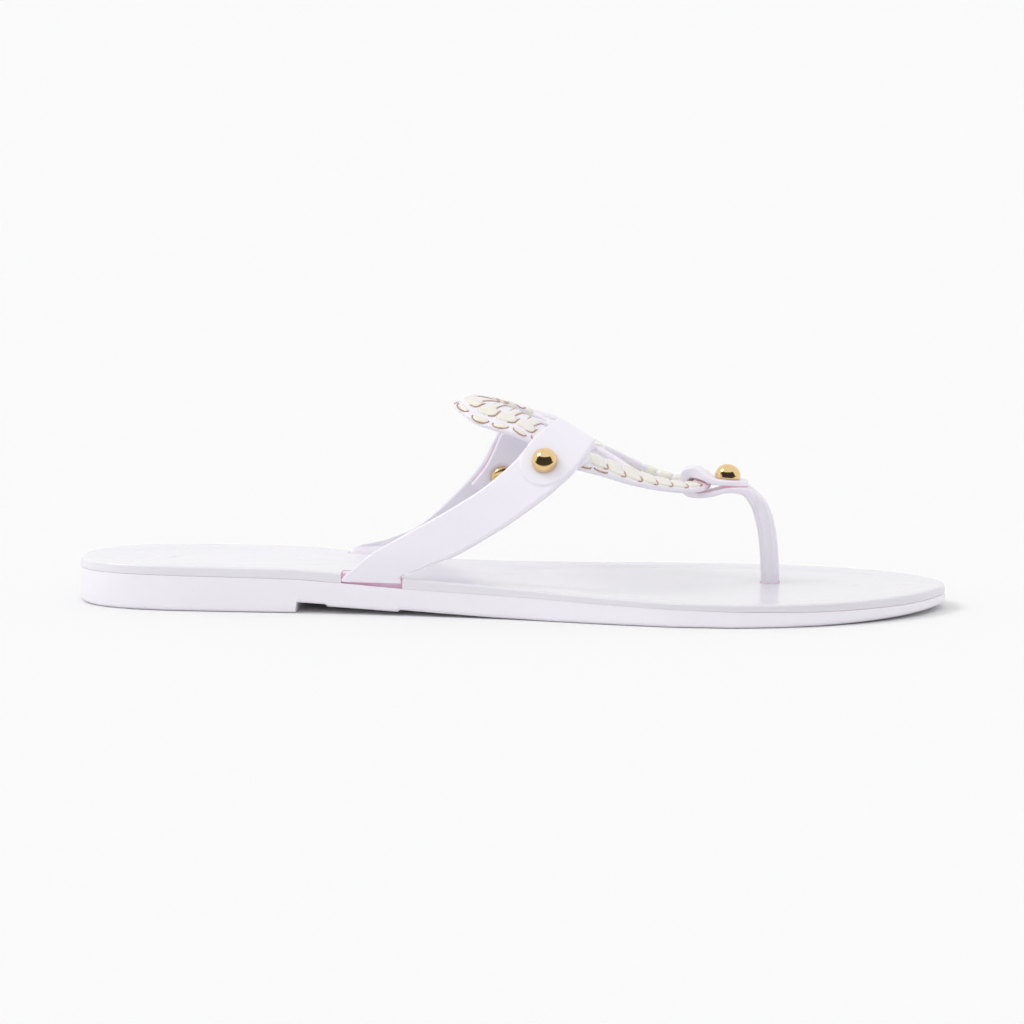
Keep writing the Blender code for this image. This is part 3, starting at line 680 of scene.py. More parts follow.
@dataclass
class Finishes:
    """Every material of the sandal."""

    effects: Effects = field(default_factory=Effects)

    def __post_init__(self) -> None:
        """Build the materials."""
        # the pink below is the painted shade and painted glow colour in crevices
        crevice_shade_pink = (0.82, 0.46, 0.62)
        self.jelly = JellyFinish(
            "white_jelly", tone=(0.82, 0.795, 0.865), cloud=(0.835, 0.80, 0.875), crevice_shade=crevice_shade_pink,
            gloss=0.36).build(self.effects)
        self.sole = JellyFinish(
            "sole_jelly", tone=(0.855, 0.83, 0.895), cloud=(0.865, 0.835, 0.90), crevice_shade=crevice_shade_pink,
            gloss=0.36, crevice_shade_amount=0.0).build(self.effects)
        # the footbed gets painted shade towards the toe through front_shade
        self.footbed = JellyFinish(
            "footbed_jelly", tone=(0.765, 0.755, 0.80), cloud=(0.785, 0.77, 0.82),
            crevice_shade=(0.80, 0.50, 0.64), gloss=0.24, crevice_shade_amount=0.6, coat=0.25,
            front_shade=0.93).build(self.effects)
        self.pearl = PearlFinish(
            "pearl_stitch", tone=(0.83, 0.81, 0.70), cloud=(0.78, 0.75, 0.64), crevice_shade=(0.62, 0.50, 0.42),
            turned=(0.80, 0.76, 0.80), gloss=0.24, gloss_spread=0.12, crevice_shade_amount=0.5, cloud_scale=260.0,
            grain_scale=2600.0, grain_depth=0.02 * MM, grain_strength=0.3).build(self.effects)
        self.tan = OutlineFinish(
            "tan_outline", tone=(0.40, 0.22, 0.16), cloud=(0.56, 0.37, 0.29), crevice_shade=(0.30, 0.16, 0.12),
            gloss=0.5, gloss_spread=0.15, crevice_shade_amount=0.6, cloud_scale=420.0, grain_scale=3000.0,
            grain_strength=0.0).build(self.effects)
        self.gold = GoldFinish(
            "pale_gold", gold=(0.86, 0.62, 0.32), rubbed=(0.74, 0.52, 0.27)).build(self.effects)


# Sole


@dataclass(frozen=True)
class SolePlan:
    """The sole's plan and heights, which everything on it is set out from."""

    length: float = 0.254
    ball_width: float = 0.095
    heel_height: float = 0.0133
    breast_share: float = 0.2625
    pad_shares: Point2 = (0.300, 0.380)
    pad_height: float = 0.0006
    step_share: float = 0.0035
    groove_shares: Row = (0.27, 0.33, 0.70, 0.80)
    centre_shares: Point2 = (0.12, 0.88)
    stations: int = 130
    outline_rows: tuple[Row, ...] = (
        # share, lateral, medial (half widths of ball_width)
        (0.000, 0.000, 0.000),
        (0.006, 0.093, 0.093),
        (0.020, 0.164, 0.162),
        (0.045, 0.224, 0.219),
        (0.080, 0.262, 0.255),
        (0.130, 0.283, 0.276),
        (0.190, 0.289, 0.280),
        (0.250, 0.291, 0.263),
        (0.310, 0.299, 0.236),
        (0.370, 0.316, 0.223),
        (0.440, 0.339, 0.242),
        (0.510, 0.368, 0.297),
        (0.580, 0.417, 0.379),
        (0.650, 0.465, 0.453),
        (0.710, 0.492, 0.497),
        (0.760, 0.493, 0.514),
        (0.810, 0.469, 0.507),
        (0.860, 0.419, 0.476),
        (0.910, 0.335, 0.419),
        (0.950, 0.232, 0.337),
        (0.980, 0.116, 0.238),
        (0.994, 0.021, 0.158),
        (1.000, -0.063, 0.063),
    )
    level_rows: tuple[Row, ...] = (
        # share, rim, parting, arch (of heel_height), dish (how far the tread's recess is open)
        (0.00, 0.970, 0.760, 0.233, 1.00),
        (0.08, 1.000, 0.782, 0.233, 1.00),
        (0.25, 0.984, 0.750, 0.233, 0.80),
        (0.31, 0.925, 0.692, 0.188, 0.00),
        (0.37, 0.842, 0.617, 0.135, 0.00),
        (0.44, 0.767, 0.556, 0.068, 0.00),
        (0.51, 0.699, 0.511, 0.015, 0.62),
        (0.58, 0.624, 0.466, 0.000, 0.90),
        (0.65, 0.571, 0.421, 0.000, 1.00),
        (0.71, 0.534, 0.383, 0.000, 1.00),
        (0.76, 0.519, 0.361, 0.000, 1.00),
        (0.81, 0.511, 0.346, 0.000, 1.00),
        (0.86, 0.504, 0.323, 0.008, 1.00),
        (0.91, 0.504, 0.316, 0.030, 1.00),
        (0.95, 0.511, 0.316, 0.060, 1.00),
        (0.98, 0.519, 0.331, 0.098, 1.00),
        (1.00, 0.526, 0.346, 0.135, 1.00),
    )

    @cached_property
    def lateral(self) -> Curve:
        """The lateral half width."""
        return column(self.outline_rows, 1, self.ball_width)

    @cached_property
    def medial(self) -> Curve:
        """The medial half width."""
        return column(self.outline_rows, 2, self.ball_width)

    @cached_property
    def rim(self) -> Curve:
        """The height of the footbed's rim."""
        return column(self.level_rows, 1, self.heel_height)

    @cached_property
    def parting(self) -> Curve:
        """The height of the line between outsole and footbed."""
        return column(self.level_rows, 2, self.heel_height)

    @cached_property
    def arch(self) -> Curve:
        """The height of the underside in front of the heel."""
        return column(self.level_rows, 3, self.heel_height)

    @cached_property
    def dish(self) -> Curve:
        """How far the tread's recess is open, from 0 to 1."""
        return column(self.level_rows, 4, 1.0)

    def x(self, share: float) -> float:
        """Return the X of a share of the length."""
        return (share - 0.5) * self.length

    def share(self, x: float) -> float:
        """Return the share of the length at X."""
        return x / self.length + 0.5

    def half(self, side: Side) -> Curve:
        """Return one side's half width."""
        return self.medial if side is Side.MEDIAL else self.lateral

    def floor(self, share: float) -> float:
        """Find the underside's height: heel block, breast, strap pad, arch and toe spring.

        Args:
            share: The share of the length.

        Returns:
            The height.
        """
        step = self.step_share
        height = self.arch(share) * smooth(self.breast_share, self.breast_share + step * 0.6, share)
        pad = smooth(self.pad_shares[0] - step, self.pad_shares[0], share)
        pad *= 1 - smooth(self.pad_shares[1], self.pad_shares[1] + step, share)
        return max(height - self.pad_height * pad, 0.0)

    def groove(self, share: float) -> float:
        """Return how open the parting groove is: full at heel and forefoot, and closed at the waist."""
        closing, opening = self.groove_shares[:2], self.groove_shares[2:]
        return 1 - smooth(*closing, share) * (1 - smooth(*opening, share))

    def grooved(self, size: float, more: float = 0.0) -> Curve:
        """Return a size that fades with the parting groove, plus a fixed one, by the share."""
        return lambda share: size * self.groove(share) + more

    @cached_property
    def outline(self) -> list[tuple[float, float, float]]:
        """The sole's outline, with extra points at the underside's steps.

        Returns:
            The (x, y, share) points, from the heel's tip by the medial side to the toe and back.
        """
        even = [(1 - math.cos(math.pi * k / self.stations)) / 2 for k in range(self.stations + 1)]
        step = self.step_share
        dense = []
        for start in (self.breast_share, self.pad_shares[0] - step, self.pad_shares[1]):
            dense += [start + step * k / 5 for k in range(6)]
        kept = [s for s in even if all(abs(s - d) > step / 4 for d in dense)]
        shares = sorted(kept + dense)
        inner = shares[1:-1]
        points = [(self.x(0.0), 0.0, 0.0)]
        points += [(self.x(s), self.medial(s), s) for s in inner]
        points.append((self.x(1.0), self.medial(1.0), 1.0))
        return points + [(self.x(s), -self.lateral(s), s) for s in reversed(inner)]

    @cached_property
    def inward(self) -> list[Point2]:
        """The inward directions.

        Returns:
            The direction at each point of the outline.
        """
        found = []
        count = len(self.outline)
        for i in range(count):
            before, after = self.outline[i - 1], self.outline[(i + 1) % count]
            tangent = Vector((after[0] - before[0], after[1] - before[1])).normalized()
            found.append((tangent.y, -tangent.x))
        return found

    def ring(self, inset: float | Curve, level: Curve, rise: float | Curve = 0.0,
             shrink: float = 0.0) -> list[Vector]:
        """Return a ring of points that follows the outline.

        Args:
            inset: How far in from the edge, or a function of the share.
            level: The height, as a function of the share.
            rise: What is added to the height, or a function of the share.
            shrink: How far the ring is then drawn to a shorter centre line, from 0 to 1.

        Returns:
            The ring.
        """
        ring = []
        rear, front = (self.x(share) for share in self.centre_shares)
        for (x, y, share), (dx, dy) in zip(self.outline, self.inward):
            step = inset(share) if callable(inset) else inset
            up = rise(share) if callable(rise) else rise
            px, py = x + dx * step, y + dy * step
            cx, cy = min(max(px, rear), front), (self.medial(share) - self.lateral(share)) / 2
            ring.append(Vector((cx + (px - cx) * (1 - shrink), cy + (py - cy) * (1 - shrink),
                                level(share) + up)))
        return ring

    def stack(self, rings: Sequence[list[Vector]]) -> Skin:
        """Join rings of the outline into a closed skin.

        Args:
            rings: The rings, from the underside to the top.

        Returns:
            The skin, whose two ends are closed by strips across the sole.
        """
        skin = Skin()
        skin.add_loft(rings, capped=False)
        count = len(self.outline)
        for base, flip in ((0, True), ((len(rings) - 1) * count, False)):
            for i in range(count // 2):
                strip = [base + i, base + i + 1, base + (count - i - 1) % count, base + (count - i) % count]
                strip = list(dict.fromkeys(strip))
                skin.faces.append(tuple(reversed(strip)) if flip else tuple(strip))
        return skin

    def edge_block(self, side: Side, span: Point2, insets: Point2, low: Curve, high: Curve,
                   stations: int = 9) -> Skin:
        """Make a block along the sole's edge.

        Args:
            side: The side of the sole.
            span: Its first and last X.
            insets: Its outer and inner distance from the edge.
            low: The height of its underside, as a function of the share.
            high: The height of its top.
            stations: The number of sections along it.

        Returns:
            The block.
        """
        sections = []
        for k in range(stations):
            x = span[0] + (span[1] - span[0]) * k / (stations - 1)
            share = self.share(x)
            outer, inner = (side.value * (self.half(side)(share) - inset) for inset in insets)
            corners = ((outer, low), (inner, low), (inner, high), (outer, high))
            sections.append([Vector((x, y, level(share))) for y, level in corners])
        block = Skin()
        block.add_loft(sections)
        return block


@dataclass
class Outsole:
    """The outsole: a heel block, an arch, a flat forefoot, tread bars and a fine line under the footbed."""

    plan: SolePlan
    floor_inset: float = 1.6 * MM
    lower_round: float = 1.3 * MM
    upper_round: float = 0.24 * MM
    seam: float = 0.02 * MM
    lap: float = 2.0 * MM
    tread_depth: float = 0.8 * MM
    tread_width: float = 3.0 * MM
    tread_inset: float = 11 * MM
    tread_shares: Row = (0.06, 0.105, 0.15, 0.195, 0.60, 0.645, 0.69, 0.735, 0.845, 0.885)

    def build(self, finishes: Finishes) -> None:
        """Build the outsole.

        Args:
            finishes: The sandal's materials.
        """
        plan = self.plan
        rings = []
        steps = 5
        for k in range(steps + 1):
            a = math.pi / 2 * k / steps
            rings.append(plan.ring(self.floor_inset * (1 - math.sin(a)), plan.floor,
                                   self.lower_round * (1 - math.cos(a))))
        top = plan.ring(0.0, plan.parting, plan.grooved(-self.upper_round))
        rings += [[a.lerp(b, k / 4) for a, b in zip(rings[steps], top)] for k in (1, 2, 3)]
        for k in range(4):
            a = math.pi / 2 * k / 3
            rings.append(plan.ring(plan.grooved(self.upper_round * (1 - math.cos(a))), plan.parting,
                                   plan.grooved(self.upper_round * (math.sin(a) - 1), -self.seam)))
        rings.append(plan.ring(self.lap, plan.parting, -self.seam))
        piece = plan.stack(rings).finish("outsole_shell", finishes.sole, Slot.JELLY, ["outsole"])
        bars = Skin()
        for share in self.tread_shares:
            x, half = plan.x(share), self.tread_width / 2
            y0, y1 = self.tread_inset - plan.lateral(share), plan.medial(share) - self.tread_inset
            corners = ((x - half, y0), (x + half, y0), (x + half, y1), (x - half, y1))
            bars.add_loft([[Vector((*corner, z)) for corner in corners]
                           for z in (-self.tread_depth, plan.floor(share) + self.tread_depth)])
        cut(piece, bars)


@dataclass
class Footbed:
    """The footbed: a rounded rim and a shallow dished tread that closes to a point at the waist."""

    plan: SolePlan
    cutters: list[Skin]
    rim_width: float = 4.2 * MM
    slope: float = 6.6 * MM
    depth: float = 0.60 * MM
    crown: float = 0.10 * MM
    dish_margin: float = 1.0 * MM
    edge_round: float = 0.9 * MM
    set_back: float = 0.09 * MM
    groove_height: float = 0.06 * MM
    seam: float = 0.02 * MM
    lap: float = 2.0 * MM

    def room(self, share: float) -> float:
        """Return how far in the tread's slope could move before it met the other side's."""
        half = min(self.plan.lateral(share), self.plan.medial(share))
        return max(half - self.rim_width - self.slope - self.dish_margin, 0.0)

    def dish_inset(self, part: float) -> Curve:
        """Return how far in a line on the tread's slope runs: it meets in a point at the waist."""
        inset = self.rim_width + self.slope * part
        return lambda share: inset + self.room(share) * (1 - self.plan.dish(share))

    def dish_level(self, part: float, sink: float = 0.0) -> Curve:
        """Make the height of a line on the tread, whose recess fades out at the waist.

        Args:
            part: How far down the slope the line runs, from 0 to 1.
            sink: How much deeper it lies where the recess is open.

        Returns:
            The height, as a function of the share.
        """

        def level(share: float) -> float:
            """Return the height at a share."""
            dish = self.plan.dish(share)
            return self.plan.rim(share) - self.depth * part * min(2 * dish, 1.0) - sink * dish

        return level

    def build(self, finishes: Finishes) -> None:
        """Build the footbed and cut its notches.

        Args:
            finishes: The sandal's materials.
        """
        plan, r, back = self.plan, self.edge_round, self.set_back
        groove = ((3.5 * back, plan.grooved(0.0, self.seam)),
                  (2.2 * back, plan.grooved(self.groove_height / 2, 2 * self.seam)),
                  (back, plan.grooved(self.groove_height, 3 * self.seam)))
        rings = [plan.ring(self.lap, plan.parting, self.seam)]
        rings += [plan.ring(plan.grooved(inset), plan.parting, rise) for inset, rise in groove]
        top = plan.ring(plan.grooved(back), plan.rim, -r)
        rings += [[a.lerp(b, k / 3) for a, b in zip(rings[3], top)] for k in (1, 2)]
        steps = 5
        for k in range(steps + 1):
            a = math.pi / 2 * k / steps
            inset = plan.grooved(back, r * (1 - math.cos(a)))
            rings.append(plan.ring(inset, plan.rim, r * (math.sin(a) - 1)))
        rings.append(plan.ring(self.rim_width * 0.55, plan.rim))
        steps = 9
        for k in range(steps + 1):
            part = k / steps
            rings.append(plan.ring(self.dish_inset(part), self.dish_level(smooth(0.0, 1.0, part))))
        for k in range(1, 7):
            part = k / 7
            sink = self.crown * (1 - (1 - part) ** 2)
            rings.append(plan.ring(self.dish_inset(1.0), self.dish_level(1.0, sink), shrink=part))
        piece = plan.stack(rings).finish("footbed_top", finishes.footbed, Slot.FOOTBED, ["footbed"])
        for cutter in self.cutters:
            cut(piece, cutter)


# Straps


@dataclass
class SideStrap:
    """A side strap: a smooth flat band from its notch in the sole to a square end with a raised pad."""

    plan: SolePlan
    name: str
    side: Side
    rows: tuple[Row, ...]
    root: Point2
    stud_row: float
    instep_height: float = 0.060
    thickness: float = 2.4 * MM
    edge_round: float = 0.75 * MM
    pad_radius: float = 7.4 * MM
    pad_proud: float = 0.5 * MM
    gap: float = 0.3 * MM
    root_gap: float = 0.04 * MM
    root_outer: float = 2.2 * MM
    root_inner: float = 6.2 * MM
    root_rise: float = 2.9 * MM
    fine_rows: float = 1.5
    fine_steps: int = 96

    @property
    def end(self) -> float:
        """The last row."""
        return len(self.rows) - 1.0

    def edges(self, place: float) -> tuple[Vector, Vector]:
        """Find the outer face's edges.

        Args:
            place: The row, with its fraction.

        Returns:
            The back and the front edge point.
        """
        values = spline_row(self.rows, place)
        scale = (self.plan.length, self.plan.ball_width, self.instep_height)
        return tuple(Vector([values[k + edge] * scale[k] for k in range(3)]) for edge in (0, 3))

    def frame(self, place: float) -> tuple[Vector, Vector, Vector, float]:
        """Find how the outer face lies.

        Args:
            place: The row, with its fraction.

        Returns:
            The face's centre, the direction across it, its outward normal and its width.
        """
        back, front = self.edges(place)
        before, after = max(place - 0.05, 0.0), min(place + 0.05, self.end)
        along = sum(self.edges(after), Vector()) - sum(self.edges(before), Vector())
        across = front - back
        normal = across.cross(along).normalized()
        if normal.y * self.side.value < 0:
            normal = -normal
        return (back + front) / 2, across.normalized(), normal, across.length

    @cached_property
    def stud_frame(self) -> tuple[Vector, Vector, Vector, Vector]:
        """The stud's seat.

        Returns:
            Its centre, the directions across and along the strap to its end, and its normal.
        """
        centre, across, normal, _ = self.frame(self.stud_row)
        along = normal.cross(across)
        if along.dot(self.frame(self.end)[0] - centre) < 0:
            along = -along
        return centre, across, along, normal

    def pad_height(self, point: Vector, place: float) -> float:
        """Find how far the pad stands proud.

        Args:
            point: A point of the outer face.
            place: Its row, with its fraction.

        Returns:
            The height over the face.
        """
        if place < self.stud_row - self.fine_rows - 0.1:
            return 0.0
        centre, across, along, _ = self.stud_frame
        offset = point - centre
        a, b = offset.dot(along), offset.dot(across)
        inside = max(self.pad_radius - math.hypot(a, b), a)
        return self.pad_proud * smooth(-0.22 * MM, 0.22 * MM, inside)

    def places(self) -> list[tuple[float, float]]:
        """Choose the strap's sections: a plain run and fine steps round the pad, with rounded ends.

        Returns:
            The row and the inset of each section.
        """
        r, fine = self.edge_round, self.fine_steps
        dense_from = self.stud_row - self.fine_rows
        plain = int(dense_from * 12)
        row_length = (self.frame(self.end)[0] - self.frame(self.end - 1)[0]).length
        last = self.end - r / row_length
        found = [(0.0, 0.5 * MM), (0.01, 0.15 * MM)]
        found += [(dense_from * k / plain, 0.0) for k in range(1, plain)]
        found += [(dense_from + (last - dense_from) * k / fine, 0.0) for k in range(fine + 1)]
        for k in range(1, 5):
            a = math.pi / 2 * k / 4
            found.append((last + r / row_length * math.sin(a), r * (1 - math.cos(a))))
        return found

    def build(self, finishes: Finishes) -> None:
        """Build the strap with its root block.

        Args:
            finishes: The sandal's materials.
        """
        rings = []
        for place, inset in self.places():
            centre, across, normal, width = self.frame(min(place, self.end))
            ring = []
            for u, v in rounded_profile(width, self.thickness, self.edge_round, 46, 12, inset=inset):
                point = centre + across * u + normal * v
                share = smooth(-self.thickness * 0.55, -self.edge_round, v)
                if share > 0:
                    point += normal * self.pad_height(centre + across * u, place) * share
                ring.append(point)
            rings.append(ring)
        skin = Skin()
        skin.add_loft(rings)
        plan = self.plan
        skin.add_skin(plan.edge_block(
            self.side, (self.root[0] + self.root_gap, self.root[1] - self.root_gap),
            (self.root_outer, self.root_inner), plan.parting, lambda s: plan.parting(s) + self.root_rise))
        skin.finish(f"{self.name}_strap", finishes.jelly, Slot.JELLY, [f"strap_{self.name}"])

    def notch(self) -> Skin:
        """Return the shape of the notch in the footbed's rim."""
        plan = self.plan
        return plan.edge_block(self.side, (self.root[0] - self.root_gap, self.root[1] + self.root_gap),
                               (-3 * MM, self.root_inner + self.gap), lambda s: plan.parting(s) - 2 * MM,
                               lambda s: 2 * plan.heel_height)


LATERAL_ROWS: tuple[Row, ...] = (
    # back run, back out, back up, front run, front out, front up: the outer face's two edges
    (-0.1836, -0.3000, 0.158, -0.1140, -0.3200, 0.158),
    (-0.1836, -0.3010, 0.176, -0.1140, -0.3220, 0.196),
    (-0.1680, -0.3020, 0.232, -0.0930, -0.3330, 0.232),
    (-0.1430, -0.3030, 0.318, -0.0730, -0.3420, 0.272),
    (-0.0770, -0.3020, 0.480, -0.0480, -0.3470, 0.317),
    (-0.0270, -0.2900, 0.612, 0.0020, -0.3450, 0.448),
    (0.0080, -0.2620, 0.736, 0.0470, -0.3280, 0.587),
    (0.0240, -0.2350, 0.813, 0.0680, -0.3080, 0.664),
    (0.0390, -0.2020, 0.882, 0.0830, -0.2760, 0.725),
    (0.0590, -0.1230, 0.939, 0.1030, -0.1800, 0.842),
)
MEDIAL_ROWS: tuple[Row, ...] = (
    # back run, back out, back up, front run, front out, front up: the outer face's two edges
    (-0.1955, 0.2210, 0.162, -0.1220, 0.2170, 0.158),
    (-0.1955, 0.2220, 0.180, -0.1220, 0.2180, 0.198),
    (-0.1780, 0.2320, 0.222, -0.1040, 0.2500, 0.205),
    (-0.1520, 0.2480, 0.262, -0.0866, 0.2720, 0.228),
    (-0.1170, 0.2650, 0.340, -0.0670, 0.2950, 0.267),
    (-0.0740, 0.2760, 0.507, -0.0350, 0.3200, 0.372),
    (-0.0445, 0.2650, 0.655, -0.0010, 0.3150, 0.540),
    (-0.0330, 0.2630, 0.750, 0.0120, 0.3100, 0.642),
    (-0.0200, 0.2690, 0.852, 0.0290, 0.3150, 0.768),
    (-0.0030, 0.2570, 0.945, 0.0450, 0.2980, 0.878),
)


# Vamp plate


@dataclass
class VampPlate:
    """The openwork plate: a stitched border, a plain hub with six spokes, and a tab to each side strap."""

    straps: dict[Side, SideStrap]
    rear: float = -0.0170
    length: float = 0.0750
    half_width: float = 0.0240
    instep_height: float = 0.060
    axis_rear: float = 0.0005
    axis_front: float = 0.0110
    fall_reference: float = 0.020
    fall_power: float = 2.4
    thickness: float = 1.8 * MM
    edge_round: float = 0.8 * MM
    # bands: their number, spread, width at the rear and in front, height, and flare over the windows
    bands: int = 30
    band_spread: float = 0.16
    band_rear: float = 0.42
    band_front: float = 0.93
    band_full: float = 0.9
    band_room: float = 0.48
    band_proud: float = 0.42 * MM
    band_under: float = 2.0 * MM
    band_flare: Point2 = (0.55, 0.72)
    # tongues: how far they reach over the border's width, and how much of them is rounded
    stitched: float = 0.74
    stitched_more: float = 0.12
    stitched_shares: Point2 = (0.55, 0.66)
    tongue: float = 0.55
    # the stretch of the near side where the bands don't wrap the inner edge
    plain_strip: Point2 = (0.62, 0.88)
    plain_low: float = 0.5 * MM
    # tan lines: at the tongues' front corners and round the windows
    line_radius: float = 0.17 * MM
    corner_turns: Point2 = (0.42, 0.52)
    corner_drop: float = 0.30
    least_window: float = 1.1 * MM
    arch_parts: tuple[float, float, float] = (0.5, 0.6, 0.2)
    arch_top: float = 0.4
    arch_sill: float = 0.66
    arch_drop: float = 0.35
    # small stitches at the outer edge
    small_reach: float = 0.36
    small_place: float = 0.885
    small_tall: float = 0.075
    small_proud: float = 0.30 * MM
    # hub, spokes and tabs
    hub_share: float = 0.47
    hub_radius: float = 7.0 * MM
    spokes: int = 6
    spoke_width: float = 3.6 * MM
    rib_width: float = 1.5 * MM
    rib_height: float = 0.8 * MM
    tab_thickness: float = 1.6 * MM
    tab_margins: Point2 = (0.01, 0.02)
    gap: float = 0.3 * MM
    rows: tuple[Row, ...] = (
        # share, ridge, fall (of instep_height), lateral, medial, border (of half_width)
        (0.000, 0.951, 0.380, 0.000, 0.000, 0.500),
        (0.030, 0.980, 0.370, 0.340, 0.340, 0.500),
        (0.080, 1.002, 0.320, 0.540, 0.540, 0.520),
        (0.160, 0.984, 0.180, 0.710, 0.710, 0.560),
        (0.260, 0.943, 0.095, 0.840, 0.830, 0.580),
        (0.370, 0.882, 0.078, 0.930, 0.900, 0.500),
        (0.470, 0.818, 0.078, 0.960, 0.930, 0.390),
        (0.600, 0.745, 0.088, 0.840, 0.830, 0.360),
        (0.720, 0.673, 0.105, 0.690, 0.690, 0.290),
        (0.830, 0.620, 0.130, 0.530, 0.530, 0.230),
        (0.920, 0.592, 0.155, 0.410, 0.410, 0.205),
        (0.975, 0.580, 0.165, 0.270, 0.270, 0.205),
        (1.000, 0.575, 0.170, 0.000, 0.000, 0.205),
    )
    tab_rows: dict[Side, Row] = field(default_factory=lambda: {
        Side.LATERAL: (6.3, 6.95, 7.5, 8.1), Side.MEDIAL: (5.4, 6.0, 6.8, 7.7)})
    tab_ends: dict[Side, tuple[Point2, Point2]] = field(default_factory=lambda: {
        # (share, part of the half width) of a tab's back and front corner inside the border
        Side.LATERAL: ((0.40, 0.78), (0.55, 0.76)), Side.MEDIAL: ((0.27, 0.80), (0.42, 0.84))})

    def __post_init__(self) -> None:
        """Make the plate's curves."""
        self.ridge = column(self.rows, 1, self.instep_height)
        self.fall = column(self.rows, 2, self.instep_height)
        self.halves = {Side.LATERAL: column(self.rows, 3, self.half_width),
                       Side.MEDIAL: column(self.rows, 4, self.half_width)}
        self.border = column(self.rows, 5, self.half_width)

    def point(self, share: float, offset: float) -> Vector:
        """Find a point of the plate's middle surface.

        Args:
            share: The share of the plate's length.
            offset: The distance from its axis.

        Returns:
            The point.
        """
        drop = self.fall(share) * (abs(offset) / self.fall_reference) ** self.fall_power
        y = self.axis_rear + (self.axis_front - self.axis_rear) * share + offset
        return Vector((self.rear + self.length * share, y, self.ridge(share) - drop))

    def normal(self, share: float, offset: float) -> Vector:
        """Find the upward normal of the plate's middle surface.

        Args:
            share: The share of the plate's length.
            offset: The distance from its axis.

        Returns:
            The normal.
        """
        low, high = max(share - 0.004, 0.0), min(share + 0.004, 1.0)
        along = self.point(high, offset) - self.point(low, offset)
        across = self.point(share, offset + 0.3 * MM) - self.point(share, offset - 0.3 * MM)
        return along.cross(across).normalized()

    @cached_property
    def centre_line(self) -> tuple[np.ndarray, np.ndarray, np.ndarray]:
        """The border's centre line, from the rear by the medial side.

        Returns:
            The distance travelled, the share of the length and the offset at each of its points.
        """
        fine = 720
        raw = []
        for k in range(fine):
            turn = math.tau * k / fine
            share = (1 - math.cos(turn)) / 2
            side = Side.MEDIAL if turn <= math.pi else Side.LATERAL
            raw.append(Vector((share * self.length, side.value * self.halves[side](share))))
        inset = []
        for k, point in enumerate(raw):
            tangent = (raw[(k + 1) % fine] - raw[k - 1]).normalized()
            width = self.border(point.x / self.length)
            inset.append(point + Vector((tangent.y, -tangent.x)) * width / 2)
        inset.append(inset[0])
        steps = [(inset[k + 1] - inset[k]).length for k in range(fine)]
        travelled = np.concatenate([[0.0], np.cumsum(steps)])
        return travelled, np.array([p.x for p in inset]) / self.length, np.array([p.y for p in inset])

    @property
    def circuit(self) -> float:
        """The length of the border's centre line."""
        return float(self.centre_line[0][-1])

    def along_border(self, distance: float) -> Point2:
        """Find a place on the border's centre line.

        Args:
            distance: The distance along it.

        Returns:
            The share of the length and the offset from the plate's axis.
        """
        travelled, shares, offsets = self.centre_line
        d = distance % self.circuit
        return float(np.interp(d, travelled, shares)), float(np.interp(d, travelled, offsets))

    def border_width(self, distance: float) -> float:
        """Return the border's width at a distance along it."""
        return self.border(self.along_border(distance)[0])

    @cached_property
    def border_grid(self) -> tuple[np.ndarray, np.ndarray]:
        """The border's middle surface.

        Returns:
            Its points and its normals, by distance along it and by part of its width.
        """
        count, half = 360, 16
        points, normals = (np.zeros((count + 1, 2 * half + 1, 3)) for _ in range(2))
        for k in range(count):
            distance = self.circuit * k / count
            ahead, behind = self.along_border(distance + 0.3 * MM), self.along_border(distance - 0.3 * MM)
            tangent = Vector(((ahead[0] - behind[0]) * self.length, ahead[1] - behind[1])).normalized()
            middle = self.along_border(distance)
            step = self.border(middle[0]) / (2 * half)
            points[k, half], normals[k, half] = self.point(*middle), self.normal(*middle)
            for sign in (1, -1):
                share, offset = middle
                run, out = -tangent.y * sign / self.length, tangent.x * sign
                for j in range(1, half + 1):
                    probe = self.point(share + run * step, offset + out * step)
                    rate = (probe - self.point(share, offset)).length / step
                    share, offset = share + run * step / rate, offset + out * step / rate
                    points[k, half + sign * j] = self.point(share, offset)
                    normals[k, half + sign * j] = self.normal(share, offset)
        points[count], normals[count] = points[0], normals[0]
        return points, normals

    def on_border(self, distance: float, across: float, up: float) -> Vector:
        """Return a point on or over the border's middle surface.

        Args:
            distance: The distance along the border.
            across: The distance outward from its centre line, along the surface.
            up: The distance off the surface.

        Returns:
            The point.
        """
        points, normals = self.border_grid
        rows, columns = points.shape[0] - 1, points.shape[1] - 1
        a = (distance % self.circuit) / self.circuit * rows
        b = (across / self.border_width(distance) + 0.5) * columns
        i, j = min(int(a), rows - 1), min(max(int(b), 0), columns - 1)
        s, t = a - i, b - j
        blended = []
        for grid in (points, normals):
            here = (1 - t) * grid[i, j] + t * grid[i, j + 1]
            ahead = (1 - t) * grid[i + 1, j] + t * grid[i + 1, j + 1]
            blended.append(Vector((1 - s) * here + s * ahead))
        place, normal = blended
        return place + normal.normalized() * up

    def band_place(self, number: int) -> float:
        """Return where a band starts along the border: the bands are wider apart at the rear."""
        part = number / self.bands
        return (part + self.band_spread * math.sin(math.tau * part) / math.tau) * self.circuit

    def band_spans(self) -> list[Point2]:
        """List the stitch bands: narrow with wide windows at the rear, and close together in front.

        Returns:
            The start and end distance of each band along the border.
        """
        spans = []
        for band in range(self.bands):
            start, following = self.band_place(band), self.band_place(band + 1)
            front = (1 - math.cos(math.tau * start / self.circuit)) / 2
            widened = smooth(0.0, self.band_full, front)
            share = self.band_rear + (self.band_front - self.band_rear) * widened
            spans.append((start, start + (following - start) * share))
        return spans

